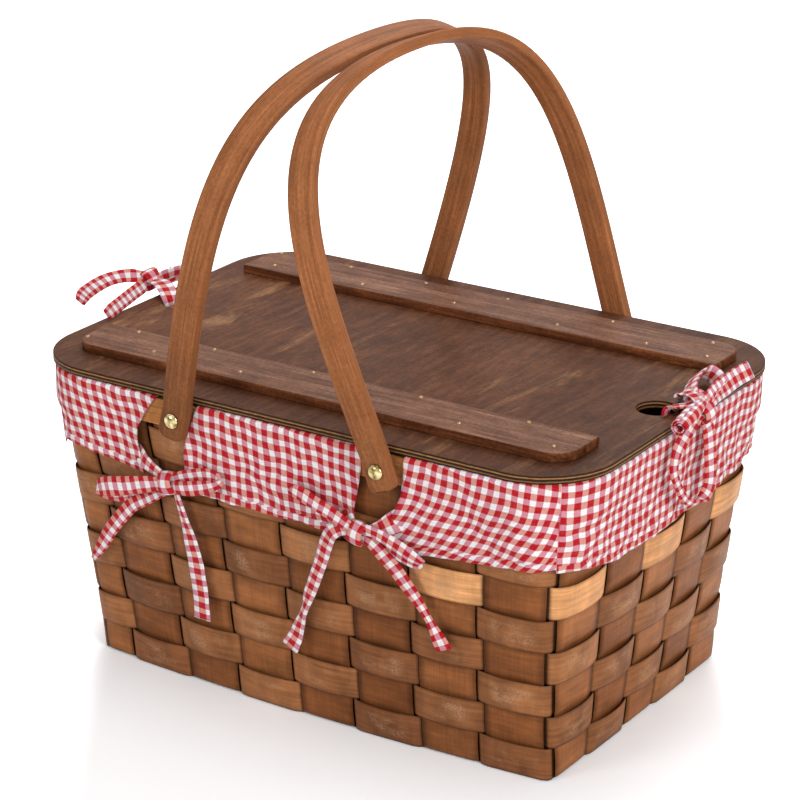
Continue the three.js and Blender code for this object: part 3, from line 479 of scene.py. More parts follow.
def streaked_wood(name, tones, stretch, streak, wear, roughness, mottle=0.16, dark_sides=(), toned=False):
    """Stained wood: grain along the axis of small stretch, streaks of wear, blotches and darker sides.

    A toned wood lies along its flat places and is made lighter or darker by the tone of its points.
    """
    nodes = Nodes(name)
    place = nodes.flat() if toned else nodes.place()
    grain = nodes.noise(place, stretch, detail=6.0, roughness=0.65, distortion=0.4)
    pores = nodes.noise(place, tuple(4.0 * s for s in stretch), detail=2.0)
    colour = nodes.ramp(grain, tones)
    wear_and_sheen = nodes.noise(place, streak, detail=4.0, roughness=0.7, distortion=0.6)
    colour = nodes.blend(nodes.fit(wear_and_sheen, wear[0], wear[1], 0.0, wear[2]), colour, wear[3])
    blotch = nodes.noise(place, scale=38.0, detail=6.0, roughness=0.7)
    colour = nodes.vary(colour, blotch, 0.3, 0.7, 1 - mottle, 1 + mottle)
    fleck = nodes.noise(place, scale=430.0, detail=3.0, roughness=0.7)
    colour = nodes.vary(colour, fleck, 0.3, 0.7, 1 - mottle, 1 + mottle)
    cloud = nodes.noise(place, scale=11.0, detail=3.0)
    colour = nodes.vary(colour, cloud, 0.3, 0.7, 0.84, 1.12)
    colour = nodes.vary(colour, pores, 0.35, 0.65, 0.86, 1.09)
    for axis, *limits in dark_sides:
        along = nodes.add("ShaderNodeSeparateXYZ", place).outputs[axis]
        colour = nodes.shade(colour, nodes.fit(along, *limits))
    if toned:
        colour = nodes.shade(colour, nodes.attribute("tone"))
    nodes.bump(nodes.plus(grain, pores), 0.15)
    return nodes.finish(colour, nodes.fit(pores, 0.3, 0.7, roughness, roughness + 0.14, "LINEAR"),
                        Specular_IOR_Level=0.04)


def three_tones(dark, middle, light):
    """Colours over the usual range of a noise."""
    return [(0.25, srgb(*dark)), (0.5, srgb(*middle)), (0.75, srgb(*light))]


LID_TONES = three_tones((76, 45, 30), (97, 60, 41), (119, 77, 54))
BATTEN_TONES = three_tones((82, 51, 38), (122, 84, 66), (160, 118, 96))
BATTEN_EDGE_TONES = three_tones((54, 29, 17), (100, 56, 33), (136, 80, 46))
HANDLE_TONES = three_tones((122, 73, 43), (155, 97, 60), (180, 117, 75))
BAND_TONES = three_tones((146, 92, 50), (176, 116, 66), (204, 142, 88))
# Axis, two places and the shade at each: the lid is darker towards the front and the right end
LID_DARK_SIDES = [(1, -0.135, -0.05, 0.8, 1.0), (0, 0.04, 0.17, 1.0, 0.76)]
PALE_WEAR = srgb(178, 132, 92)
ORANGE_WEAR = srgb(176, 104, 52)
PLY_LAYERS = [(0.0, srgb(40, 27, 20)), (0.22, srgb(132, 92, 56)), (0.36, srgb(46, 31, 21)),
              (0.6, srgb(158, 112, 68)), (0.74, srgb(50, 34, 24)), (0.92, srgb(96, 62, 40))]
# How far the layers rise and fall along the edge
PLY_UNEVEN = 0.6


def ply_material():
    """Edge of the plywood: pale and dark layers one above the other, a little uneven along the edge."""
    nodes = Nodes("plywood_edge")
    place = nodes.place()
    height = nodes.add("ShaderNodeSeparateXYZ", place).outputs[2]
    uneven = nodes.times(nodes.noise(place, scale=60.0, detail=2.0), PLY_UNEVEN * MM)
    raised = nodes.plus(height, uneven)
    level = nodes.fit(raised, LID_BOTTOM * MM, (LID_TOP + PLY_UNEVEN) * MM, 0.0, 1.0, "LINEAR")
    colour = nodes.ramp(level, PLY_LAYERS, "CONSTANT")
    speck = nodes.noise(place, (300.0, 300.0, 900.0), detail=3.0)
    colour = nodes.vary(colour, speck, 0.3, 0.7, 0.6, 1.15)
    nodes.bump(speck, 0.2)
    return nodes.finish(colour, 0.6, Specular_IOR_Level=0.08)


CLOTH_WHITE = srgb(250, 246, 247)
CLOTH_RED = srgb(188, 4, 24)
CLOTH_MAUVE = srgb(216, 142, 156)
CLOTH_SALMON = srgb(224, 152, 142)


def gingham_material():
    """Checked cotton: warp and weft stripes, red where both are dyed, two half tones where one is."""
    nodes = Nodes("gingham_cotton")
    flat = nodes.flat()
    parts = nodes.add("ShaderNodeSeparateXYZ", flat)
    uneven = nodes.math("SUBTRACT", nodes.noise(flat, scale=45.0, detail=2.0), 0.5)
    frayed = nodes.math("SUBTRACT", nodes.noise(flat, scale=1300.0, detail=1.0), 0.5)
    wander = nodes.plus(nodes.times(uneven, CHECK_WANDER * MM), nodes.times(frayed, CHECK_FRAY * MM))

    def stripe(place, thread_stretch):
        turns = nodes.math("DIVIDE", nodes.plus(place, wander), CHECK_PERIOD * MM)
        dyed = nodes.fit(nodes.math("PINGPONG", turns, 0.5), 0.21, 0.26)
        thread = nodes.noise(flat, thread_stretch, detail=2.0, roughness=0.8)
        return nodes.times(dyed, nodes.fit(thread, 0.3, 0.5, 0.88, 1.0, "LINEAR"))

    def threads(place):
        return nodes.math("SINE", nodes.times(place, 2 * math.pi / (THREAD_PERIOD * MM)))

    warp = stripe(parts.outputs[0], (1500.0, 260.0, 1.0))
    weft = stripe(parts.outputs[1], (260.0, 1500.0, 1.0))
    light_row = nodes.blend(warp, CLOTH_WHITE, CLOTH_MAUVE)
    dark_row = nodes.blend(warp, CLOTH_SALMON, CLOTH_RED)
    colour = nodes.blend(weft, light_row, dark_row)
    weave = nodes.times(threads(parts.outputs[0]), threads(parts.outputs[1]))
    slub = nodes.noise(flat, (260.0, 1100.0, 1.0), detail=3.0)
    colour = nodes.vary(colour, weave, -1.0, 1.0, 0.95, 1.03)
    colour = nodes.vary(colour, slub, 0.3, 0.7, 0.86, 1.07)
    nodes.bump(nodes.plus(weave, nodes.times(slub, 1.5)), 0.12, 0.6)
    return nodes.finish(colour, 0.88, Sheen_Weight=0.06, Specular_IOR_Level=0.1)


def brass_material():
    nodes = Nodes("polished_brass")
    place = nodes.place()
    # Tarnish and painted reflection: broad patches of dark and light brass over each head
    tarnish = nodes.noise(place, scale=260.0, detail=1.0)
    colour = nodes.ramp(tarnish, [(0.36, srgb(122, 104, 60)), (0.64, srgb(206, 190, 142))])
    nodes.bump(nodes.noise(place, scale=500.0, detail=2.0), 0.05)
    return nodes.finish(colour, nodes.fit(tarnish, 0.3, 0.7, 0.1, 0.2, "LINEAR"), Metallic=1.0)


def brad_material():
    nodes = Nodes("dull_brass")
    tarnish = nodes.noise(nodes.place(), scale=900.0, detail=2.0)
    colour = nodes.ramp(tarnish, [(0.3, srgb(112, 86, 60)), (0.7, srgb(184, 150, 110))])
    return nodes.finish(colour, 0.38, Metallic=1.0)


STAKE_WOOD = splint_material("stake_wood", STAKE_TONES, 0.16, 0.2)
WEAVER_WOOD = splint_material("weaver_wood", WEAVER_TONES, 0.3, 0.06)
BAND = streaked_wood("rim_band_wood", BAND_TONES, (10.0, 10.0, 420.0), (9.0, 9.0, 120.0),
                     (0.62, 0.8, 0.4, srgb(190, 138, 86)), 0.42)
LID = streaked_wood("lid_stain", LID_TONES, (170.0, 24.0, 170.0), (34.0, 6.0, 34.0),
                    (0.55, 0.72, 0.5, PALE_WEAR), 0.4, 0.26, LID_DARK_SIDES)
BATTEN = streaked_wood("batten_stain", BATTEN_TONES, (14.0, 240.0, 240.0), (6.0, 40.0, 40.0),
                       (0.64, 0.8, 0.4, ORANGE_WEAR), 0.4, 0.3)
BATTEN_EDGE = streaked_wood("batten_edge_stain", BATTEN_EDGE_TONES, (12.0, 240.0, 240.0), (9.0, 30.0, 30.0),
                            (0.58, 0.76, 0.7, srgb(178, 108, 58)), 0.3, 0.3)
HANDLE = streaked_wood("handle_stain", HANDLE_TONES, (7.0, 330.0, 1.0), (4.0, 160.0, 1.0),
                       (0.6, 0.8, 0.35, srgb(190, 122, 78)), 0.42, 0.18, toned=True)
PLY = ply_material()
GINGHAM = gingham_material()
BRASS = brass_material()
BRAD = brad_material()


# Woven splints

# Half the thickness of a stake, and how dark its painted shade makes it, from one edge to the other
STAKE_HALF = SPLINT_THICKNESS / 2 * np.array([0.3, 0.85, 1, 1, 1, 1, 1, 0.85, 0.3])
STAKE_EDGE_SHADE = np.array([0.6, 0.05, 0, 0, 0, 0, 0, 0.05, 0.6])


def stake_rows(run, index, start_number, flip):
    """Rows of a stake on one wall from the rim to the floor: points with their outer sides, and a painted
    shade.
    """
    rows, shades = [], []
    places = np.linspace(0.0, 1.0, len(STAKE_HALF))
    if flip:
        places = places[::-1]
    for z in np.linspace(RIM_HEIGHT - 0.3, STAKE_FOOT + 1.0, STAKE_ROWS):
        start, end = stake_edges(run, index, z)
        row = max(0.0, (z - ROWS_BOTTOM) / ROW_HEIGHT)
        over = row < WEAVER_ROWS and (start_number + index + int(row) + 1) % 2 == 1
        arch = math.sin(math.pi * (row % 1.0)) if 0 < row < WEAVER_ROWS else 0.0
        swell = (STAKE_SWELL if over else -STAKE_DIP) * arch
        rows.append([(wall_point(run, mix(start, end, t), z, swell), wall_normal(run, mix(start, end, t), z))
                     for t in places])
        # Painted shade: a showing part darkens towards the bricks above and below it, a hidden part is dark
        # throughout
        shades.append(0.3 * (1 - arch) ** 3 if over else 0.3)
    start, end = stake_edges(run, index, FLOOR_MID)
    for angle, height, inset in ((45.0, 0.7, 0.3), (90.0, 0.6, 1.0), (90.0, FLOOR_MID, 6.0)):
        angle = math.radians(angle)
        row = []
        for t in places:
            arc = mix(start, end, t)
            side = wall_normal(run, arc, FLOOR_MID)
            point = wall_point(run, arc, FLOOR_MID, -inset)
            point[2] = height + (STAKE_FOOT - 0.6 if height < STAKE_FOOT else 0.0)
            row.append((point, unit(side * math.cos(angle) - UP * math.sin(angle))))
        rows.append(row)
        # Painted shade where the stake turns under the floor
        shades.append(0.5)
    return list(zip(rows, shades))


def stake_piece(kind, number, rows, tone):
    shell = Shell()
    rings, middles = [], []
    for row, _ in rows:
        points = np.array([p for p, _ in row])
        sides = np.array([s for _, s in row])
        rings.append(skin(points, sides, STAKE_HALF))
        middles.append(points.mean(axis=0))
    top = rows[0][0]
    widths = np.linspace(-0.5, 0.5, len(STAKE_HALF)) * np.linalg.norm(top[0][0] - top[-1][0])
    edges = np.maximum(both_ways(STAKE_EDGE_SHADE), np.array([shade for _, shade in rows])[:, None])
    shell.tube(rings, walked(np.array(middles)), both_ways(widths), tones=tone, edges=edges)
    shell.piece(f"{kind}_splint_{number}", "basket", "splint", [STAKE_WOOD], [f"{kind}_stake_{number}"])


for k in range(LONG_STAKES):
    front = stake_rows(FRONT, k, 0, False)
    back = stake_rows(BACK, LONG_STAKES - 1 - k, LONG_STAKES + END_STAKES, True)
    stake_piece("cross", k + 1, front + back[::-1], 0.2 + 0.6 * chance(1, k))

for k in range(END_STAKES):
    right = stake_rows(RIGHT, k, LONG_STAKES, False)
    left = stake_rows(LEFT, END_STAKES - 1 - k, 2 * LONG_STAKES + END_STAKES, True)
    floor = []
    for j in reversed(range(LONG_STAKES)):
        edges = stake_edges(FRONT, j, FLOOR_MID)
        start, end = (wall_point(FRONT, arc, FLOOR_MID, -STAKE_BEND)[0] for arc in edges)
        level = FLOOR_MID + (WEAVE_RISE if (k + j) % 2 == 1 else -WEAVE_RISE)
        for x in np.linspace(end + 0.5, start - 0.5, 5):
            floor.append(([(np.array([x, point[1], level]), side) for point, side in right[-1][0]], 0.0))
    stake_piece("long", k + 1, right + floor + left[::-1], 0.2 + 0.6 * chance(2, k))


WEAVER_RISES = np.array([0.0, 0.07, 0.3, 0.5, 0.7, 0.93, 1.0])
WEAVER_HALF = SPLINT_THICKNESS / 2 * np.array([0.3, 0.85, 1.0, 1.0, 1.0, 0.85, 0.3])
# Painted shade along the bottom and top edges of a weaver
WEAVER_EDGE_SHADE = np.array([0.55, 0.06, 0.0, 0.0, 0.0, 0.06, 0.45])
BRICK_PLACES = np.array([0.0, 0.015, 0.04, 0.08, 0.13, 0.2, 0.3, 0.4, 0.5])
BRICK_PLACES = np.concatenate([BRICK_PLACES, 1 - BRICK_PLACES[-2::-1]])
HIDDEN_PLACES = np.array([0.0, 0.5, 1.0])
BRICK_TUCK = 0.5
# Row and stake numbers of the bricks that took little stain
GOLDEN_BRICKS = {(6, 6), (6, 8), (6, 10), (6, 12), (7, 11)}


def brick_ends(run, k, z, over):
    """Places along a wall where the weaver's part at one stake starts and ends."""
    start, end = stake_edges(run, k, z)
    if not over:
        return start, end
    corner = STAKE_CORNER_GAP + CORNER_WRAP
    before = corner if k == 0 else STAKE_GAP - BRICK_TUCK
    after = corner if k == STAKE_COUNTS[run] - 1 else STAKE_GAP - BRICK_TUCK
    return start - before, end + after


def weaver_piece(row):
    """One splint round the basket, bulging over every second stake and tucked behind the others."""
    bottom = ROWS_BOTTOM + (row - 1) * ROW_HEIGHT
    heights = bottom + WEAVER_RISES * (ROW_HEIGHT - ROW_GAP)
    rings, tones, shades, middles = [], [], [], []
    number = 0
    for run in (FRONT, RIGHT, BACK, LEFT):
        for k in range(STAKE_COUNTS[run]):
            over = (number + row) % 2 == 0
            tone = 0.15 + 0.55 * chance(row, number)
            if (row, number) in GOLDEN_BRICKS:
                tone = 0.92 + 0.06 * chance(row, number)
            if row > WEAVER_ROWS - 2:
                crown = HIDDEN_CROWN
            else:
                crown = WEAVER_CROWN * (0.75 + 0.35 * chance(4, row, number))
            for t in BRICK_PLACES if over else HIDDEN_PLACES:
                bulge = max(0.0, math.sin(math.pi * t)) ** 0.6
                level = mix(-WEAVE_RISE + 0.3, WEAVE_RISE + crown, bulge) if over else -WEAVE_RISE
                points, sides = [], []
                for z in heights:
                    arc = mix(*brick_ends(run, k, z, over), t)
                    low = mix(min(level, FOOT_LEVEL), level, smooth_step(0.0, FOOT_HEIGHT, z))
                    points.append(wall_point(run, arc, z, low))
                    sides.append(wall_normal(run, arc, z))
                rings.append(skin(np.array(points), np.array(sides), WEAVER_HALF))
                middles.append(points[3])
                tones.append(tone)
                # Painted shade in the cleft where a brick dives behind a stake, painted sheen on its crown,
                # painted shade over the parts hidden behind stakes
                cleft = 1 - smooth_step(0.0, 0.3, bulge)
                shades.append(cleft - smooth_step(0.5, 1.0, bulge) if over else 1.0)
            number += 1
    along = walked(np.array(middles))
    span = along[-1] + np.linalg.norm(middles[0] - middles[-1])
    edge = both_ways(WEAVER_EDGE_SHADE)
    shades = np.array(shades)[:, None]
    edges = np.where(edge > 0.05, np.maximum(edge, shades), shades)
    shell = Shell()
    shell.tube(rings, along, both_ways(heights), closed=True, span=span, tones=tones, edges=edges)
    shell.piece(f"weaver_{row}", "basket", "splint", [WEAVER_WOOD], [f"weaver_row_{row}"])


for row in range(1, WEAVER_ROWS + 1):
    weaver_piece(row)


# Cuffs: the lining turned over the rim, parted by a slit at each handle leg

# Slit edges as heights with places along the front wall. The back wall has them turned half round.
SLIT_HEIGHTS = [140.0, 152.0, 162.0, 172.0, 185.0, 198.0, 212.0]
SLIT_EDGES = {
    "left_outer": [-112.0, -113.0, -115.5, -116.5, -116.0, -108.0, -97.0],
    "left_inner": [-80.0, -79.5, -79.5, -79.0, -76.5, -71.0, -65.0],
    "right_inner": [50.0, 51.0, 52.5, 54.5, 57.5, 60.0, 63.0],
    "right_outer": [71.0, 72.5, 77.0, 83.0, 88.5, 91.0, 92.0],
}
# Hems on the long walls and on the ends: places along the wall, and heights there
BOTTOM_LONG = ([-210, -173, -116, -60, 9, 80, 109, 136, 170, 210],
               [160, 160, 153, 147, 147, 142, 147, 149, 152, 156])
BOTTOM_END = ([-150, -110, -68, -11, 90, 150], [156, 150, 143, 144, 148, 160])
# Places along a long wall, and height, of the ties at the feet of the slits
TIED_PLACES, TIED_HEIGHT = (-95.0, 61.0), 152.0
FAR_AWAY = 1000.0
# Height below which the cloth falls into folds, and the drop to their full size
FOLDS_FROM, FOLDS_DROP = 200.0, 26.0
# Folds: how far they stand out, and how fast they change along the rim and down
BROAD_FOLDS, SMALL_FOLDS, FINE_FOLDS = (1.3, 0.03, 0.012), (1.5, 0.075, 0.05), (1.5, 0.15, 0.11)
# Places along the front wall between which the folds come loose
LOOSE_FROM, LOOSE_TO = -205.0, -150.0
# Pleats round a tie: how many in a full turn, how far they stand out, where they start and how far they go
PLEATS, PLEAT_SIZE, PLEAT_START, PLEAT_REACH = 7.0, 1.1, 12.0, 30.0
# How far the doubled hem stands out, and the depth and width of its stitched line
HEM_STEP, STITCH_DEPTH, STITCH_WIDTH = 0.35, 0.5, 0.8
# Slope of the checked rows against the rim, and of the columns that are pulled towards the right tie
ROW_SLOPE, PULL_SLOPE, PULL_DEPTH = 0.07, 0.5, 75.0
# Near the corner seam the columns crowd together and the rows dip
SEAM_REACH, SEAM_CROWDING, SEAM_DIP = 26.0, 0.28, 0.22
# Jump of the checks at the seam in the middle of each corner, and at the hem
SEAM_JUMP, HEM_SHIFT = 2.9, 1.8
SEAM_HALF_WIDTH = 0.15
# Way of the cloth over the rim from its lip inside: distance out of the wall and height
OVER_RIM = [(CUFF_LIP_OFFSET, CUFF_LIP_BOTTOM), (CUFF_LIP_OFFSET, 207.0), (CUFF_LIP_OFFSET + 0.4, 209.6),
            (-3.0, CUFF_TOP - 0.5), (0.5, CUFF_TOP - 0.3), (3.2, CUFF_TOP - 0.6), (4.3, 209.8)]
# The hanging cloth has even rows from this height to this much above its bottom, and closer ones at its hem
HANG_TOP, HANG_END, CUFF_ROWS = 208.0, 12.0, 26
CUFF_FALLS = [0.0, 0.5, 1.5, 3.0, 4.4, 5.0, 5.5, 6.0, 6.8, 8.4, 10.0]
# Heights at which a cuff's length and its hem are read
CUFF_MIDDLE, CUFF_FOOT = 185.0, 150.0
# Stations on a long cuff, and on an end cuff before the end, round half a corner, on the end and after it
LONG_STATIONS, BEFORE_STATIONS, CORNER_STATIONS, END_STATIONS, AFTER_STATIONS = 52, 30, 10, 70, 22


def slit_arc(edge, z):
    return np.interp(z, SLIT_HEIGHTS, SLIT_EDGES[edge])


def hem_height(run, arc):
    places, heights = BOTTOM_LONG if run in (FRONT, BACK) else BOTTOM_END
    return np.interp(arc, places, heights) + 1.2 * wave(arc * 0.06, run * 7.3)


def spread(run, low, high, count):
    """Places between two edges of a run, each a function of height."""
    return [(run, lambda z, t=t: mix(low(z), high(z), t)) for t in (np.arange(count) + 0.5) / count]


def slit_distance(run, arc, z):
    """Distance to the nearest tied corner at the foot of a slit, and the angle seen from it."""
    if run not in (FRONT, BACK):
        return FAR_AWAY, 0.0
    away, foot = min((math.hypot(arc - foot, z - TIED_HEIGHT), foot) for foot in TIED_PLACES)
    return away, math.atan2(z - TIED_HEIGHT, arc - foot)


def slit_edge_distance(run, arc, z):
    """Distance along the wall to the nearest edge of a slit."""
    if run not in (FRONT, BACK):
        return FAR_AWAY
    return min(abs(arc - slit_arc(edge, z)) for edge in SLIT_EDGES)


def band_clearance(run, arc, z):
    """Distance out of the bowed wall at which cloth lies clear over the straight rim band."""
    flat, _, _, depth, bow = run_at(run, float(z))
    rise = (z - FLOOR_MID) / (RIM_HEIGHT - FLOOR_MID)
    base, top = (BAND_BASE_WIDTH, TOP_WIDTH) if run in (FRONT, BACK) else (BAND_BASE_LENGTH, TOP_LENGTH)
    wall = depth + bow * (1 - (min(abs(arc), flat) / flat) ** 2)
    return max(0.0, mix(base, top, rise) / 2 - wall) + BAND_CLEAR


def looseness(run, arc):
    """Share of the folds that may stand out: none at the left end, all at the right."""
    if run in (LEFT, RIGHT):
        return 1.0 if run == RIGHT else 0.0
    return smooth_step(LOOSE_FROM, LOOSE_TO, arc if run == FRONT else -arc)


def fold(kind, distance, z, seed):
    """Height of one kind of fold at a place on a cuff."""
    size, along, down = kind
    return size * wave(distance * along, z * down, seed)


def cuff_offset(run, arc, distance, z, fall):
    """How far the hanging cloth stands out from the wall: soft folds, pulls towards the ties, hems."""
    drop = min(1.0, max(0.0, (FOLDS_FROM - z) / FOLDS_DROP))
    folds = fold(BROAD_FOLDS, distance, z, 3.0 + run) + fold(SMALL_FOLDS, distance, z, 9.0)
    folds += fold(FINE_FOLDS, distance, z, 21.0)
    away, angle = slit_distance(run, arc, z)
    pull = math.exp(-(away / PLEAT_REACH) ** 2)
    turn = angle * PLEATS + 2.0 * wave(arc * 0.03, z * 0.03)
    pleats = PLEAT_SIZE * pull * math.sin(turn) * min(1.0, away / PLEAT_START)
    hem = HEM_STEP * smooth_step(CUFF_HEM + 0.6, CUFF_HEM - 0.4, fall)
    hem -= STITCH_DEPTH * math.exp(-((fall - CUFF_HEM) / STITCH_WIDTH) ** 2)
    pucker = 0.35 * wave(distance * 0.3, 5.0) * math.exp(-((fall - 0.5 * CUFF_HEM) / CUFF_HEM) ** 2)
    side = slit_edge_distance(run, arc, z)
    folds *= mix(0.55, 1.0, smooth_step(4.0, 20.0, side))
    folds = mix(min(folds, 0.0) - 0.5, folds, looseness(run, arc))
    curl = (0.5 + 1.2 * drop) * math.exp(-side / 4.0) * min(1.0, max(0.0, (207.0 - z) / 6.0))
    over_band = smooth_step(BAND_BOTTOM - 18.0, BAND_BOTTOM - 2.0, z)
    nearest = mix(CUFF_NEAREST, band_clearance(run, arc, z), over_band)
    return max(nearest, CUFF_OUT + drop * (folds + pleats + 0.2) + hem + pucker + curl)


def pattern_shift(run, distance, z):
    low = min(1.0, (CUFF_TOP - z) / 60.0)
    along = fold((2.4 * low, 0.024, 0.014), distance, z, 31.0 + run)
    along += fold((1.6, 0.06, 0.05), distance, z, 37.0)
    down = fold((1.8, 0.02, 0.012), distance, z, 43.0 + run) + fold((1.9, 0.06, 0.045), distance, z, 47.0)
    return along, down


def pattern_place(run, arc, z, part):
    """Where the checks lie: the distance along the cloth, and how far its rows slope down.

    An end cuff has parts before, on and after the end wall. The other cuffs are one middle part.
    """
    reach = run_at(run, float(z)).reach
    if part == "middle":
        return arc, -ROW_SLOPE * arc
    if part == "before":
        near_seam = math.exp((arc - reach) / SEAM_REACH)
        along = arc - reach + SEAM_CROWDING * SEAM_REACH * (near_seam - 1)
        pull = PULL_SLOPE * (CUFF_TOP - z) ** 2 / PULL_DEPTH
        return along + pull, -0.5 * ROW_SLOPE * arc - SEAM_DIP * SEAM_REACH * near_seam
    if part == "end":
        return SEAM_JUMP + arc + reach, 0.0
    return 2 * SEAM_JUMP + 2 * run_at((run + 3) % 4, CUFF_MIDDLE).reach + arc + reach, -ROW_SLOPE * arc


def cuff_piece(label, stations):
    """A panel of the cuff through stations along the rim, from its lip inside to its hem outside."""
    rings, columns, rows_around = [], [], []
    along = walked(np.array([wall_point(run, arc(CUFF_MIDDLE), CUFF_MIDDLE) for run, arc in stations]))
    runs = list(dict.fromkeys(run for run, _ in stations))
    parts = dict(zip(runs, ("before", "end", "after"))) if len(runs) > 1 else {runs[0]: "middle"}
    for (run, arc), distance in zip(stations, along):
        bottom = hem_height(run, arc(CUFF_FOOT))
        hang = list(np.linspace(HANG_TOP, bottom + HANG_END, CUFF_ROWS))
        hang += [bottom + fall for fall in CUFF_FALLS[::-1]]
        profile = OVER_RIM + [(cuff_offset(run, arc(z), distance, z, z - bottom), z) for z in hang]
        centres = np.array([wall_point(run, arc(z), z, offset) for offset, z in profile])
        flat = np.array(profile)
        tangent = np.gradient(flat, axis=0)
        tangent /= np.linalg.norm(tangent, axis=1)[:, None]
        half = np.full(len(profile), CLOTH_THICKNESS / 2)
        half[[0, -1]] *= 0.4
        outward = np.array([wall_normal(run, arc(z), z) for _, z in profile])
        rings.append(skin(centres, UP * tangent[:, :1] - outward * tangent[:, 1:], half))
        shifts = np.array([pattern_shift(run, distance, z) for _, z in profile])
        places = np.array([pattern_place(run, arc(z), z, parts[run]) for _, z in profile])
        depth = walked(flat)
        u = places[:, 0] + shifts[:, 0] + HEM_SHIFT * (flat[:, 1] < bottom + CUFF_HEM)
        v = depth + places[:, 1] + shifts[:, 1]
        columns.append(both_ways(u))
        rows_around.append(both_ways(v))
    shell = Shell()
    shell.tube(rings, np.array(columns), np.array(rows_around))
    piece = shell.piece(f"{label}_cuff_cloth", "basket", "gingham", [GINGHAM], [f"{label}_cuff"])


def edge_of(name):
    return lambda z: slit_arc(name, z)


def wall_end(run, side, part, back=0.0):
    """Where the flat or the reach of a wall ends at one side, or a little before, as a function of height."""
    return lambda z: side * (getattr(run_at(run, float(z)), part) - back)


def corner_stations(before, after):
    """Stations round a corner from one flat wall to the next, with the sewn seam in the middle."""
    stations = spread(before, wall_end(before, 1, "flat"), wall_end(before, 1, "reach"), CORNER_STATIONS)
    stations.append((before, wall_end(before, 1, "reach", SEAM_HALF_WIDTH)))
    stations.append((after, wall_end(after, -1, "reach", SEAM_HALF_WIDTH)))
    stations += spread(after, wall_end(after, -1, "reach"), wall_end(after, -1, "flat"), CORNER_STATIONS)
    return stations


for label, run in (("front", FRONT), ("back", BACK)):
    low, high = edge_of("left_inner"), edge_of("right_inner")
    cuff_piece(label, [(run, low)] + spread(run, low, high, LONG_STATIONS) + [(run, high)])

for label, run in (("right", RIGHT), ("left", LEFT)):
    before, after = (run + 3) % 4, (run + 1) % 4
    first, last = edge_of("right_outer"), edge_of("left_outer")
    stations = [(before, first)] + spread(before, first, wall_end(before, 1, "flat"), BEFORE_STATIONS)
    stations += corner_stations(before, run)
    stations += spread(run, wall_end(run, -1, "flat"), wall_end(run, 1, "flat"), END_STATIONS)
    stations += corner_stations(run, after)
    stations += spread(after, wall_end(after, -1, "flat"), last, AFTER_STATIONS) + [(after, last)]
    cuff_piece(label, stations)


# Lining bag

def ring_at(z, inset, height, shrink=1.0):
    """Points round the inside of the basket at a height, drawn in towards the middle by shrink."""
    points = []
    for run in (FRONT, RIGHT, BACK, LEFT):
        flat, reach, _, _, _ = run_at(run, float(z))
        arcs = np.concatenate([np.linspace(-reach, -flat, 7)[:-1], np.linspace(-flat, flat, 24),
                               np.linspace(flat, reach, 7)[1:-1]])
        for arc in arcs:
            ripple = 0.6 * wave(arc * 0.04, z * 0.03, run * 5.0)
            point = wall_point(run, arc, z, -inset + ripple)
            points.append([point[0] * shrink, point[1] * shrink, height])
    return np.array(points)


def lining_piece():
    levels = [(z, LINING_INSET, z, 1.0) for z in np.linspace(LINING_TOP, 10.0, 18)]
    levels += [(8.0, LINING_INSET + 1.0, 7.0, 1.0), (6.0, LINING_INSET + 3.0, LINING_FLOOR + 0.3, 1.0)]
    levels += [(6.0, LINING_INSET + 3.0, LINING_FLOOR + 0.3 * s, s) for s in (0.8, 0.6, 0.4, 0.2, 0.02)]
    outer = [ring_at(*level) for level in levels]
    inner = []
    for z, inset, height, shrink in levels:
        floor_lift = CLOTH_THICKNESS if height < 10 else 0.0
        inner.append(ring_at(z, inset + CLOTH_THICKNESS, height + floor_lift, shrink))
    size = len(outer[0])
    points = np.vstack(outer + inner[::-1])
    rows = len(outer) * 2
    girth = walked(np.vstack([outer[0], outer[0][:1]]))
    down = walked(np.array([[height, (1 - shrink) * LINING_HALF_FLOOR] for _, _, height, shrink in levels]))
    down = both_ways(down)
    faces, flats = [], []
    for i in range(rows):
        k = (i + 1) % rows
        if i == len(outer) - 1:
            continue
        for j in range(size):
            n = (j + 1) % size
            faces.append((i * size + j, i * size + n, k * size + n, k * size + j))
            left, right = girth[j], girth[j + 1]
            flats.append([(left, down[i]), (right, down[i]), (right, down[k]), (left, down[k])])
    for i, turn in ((len(outer) - 1, 1), (len(outer), -1)):
        ring = list(range(size))[::turn]
        faces.append(tuple(i * size + j for j in ring))
        flats.append([(girth[j], down[i]) for j in ring])
    shell = Shell()
    shell.add(points, faces, flats, np.full(len(points), 0.5), np.zeros(len(points)))
    piece = shell.piece("lining_cloth", "basket", "gingham", [GINGHAM], ["lining_bag"])


lining_piece()


# Ties

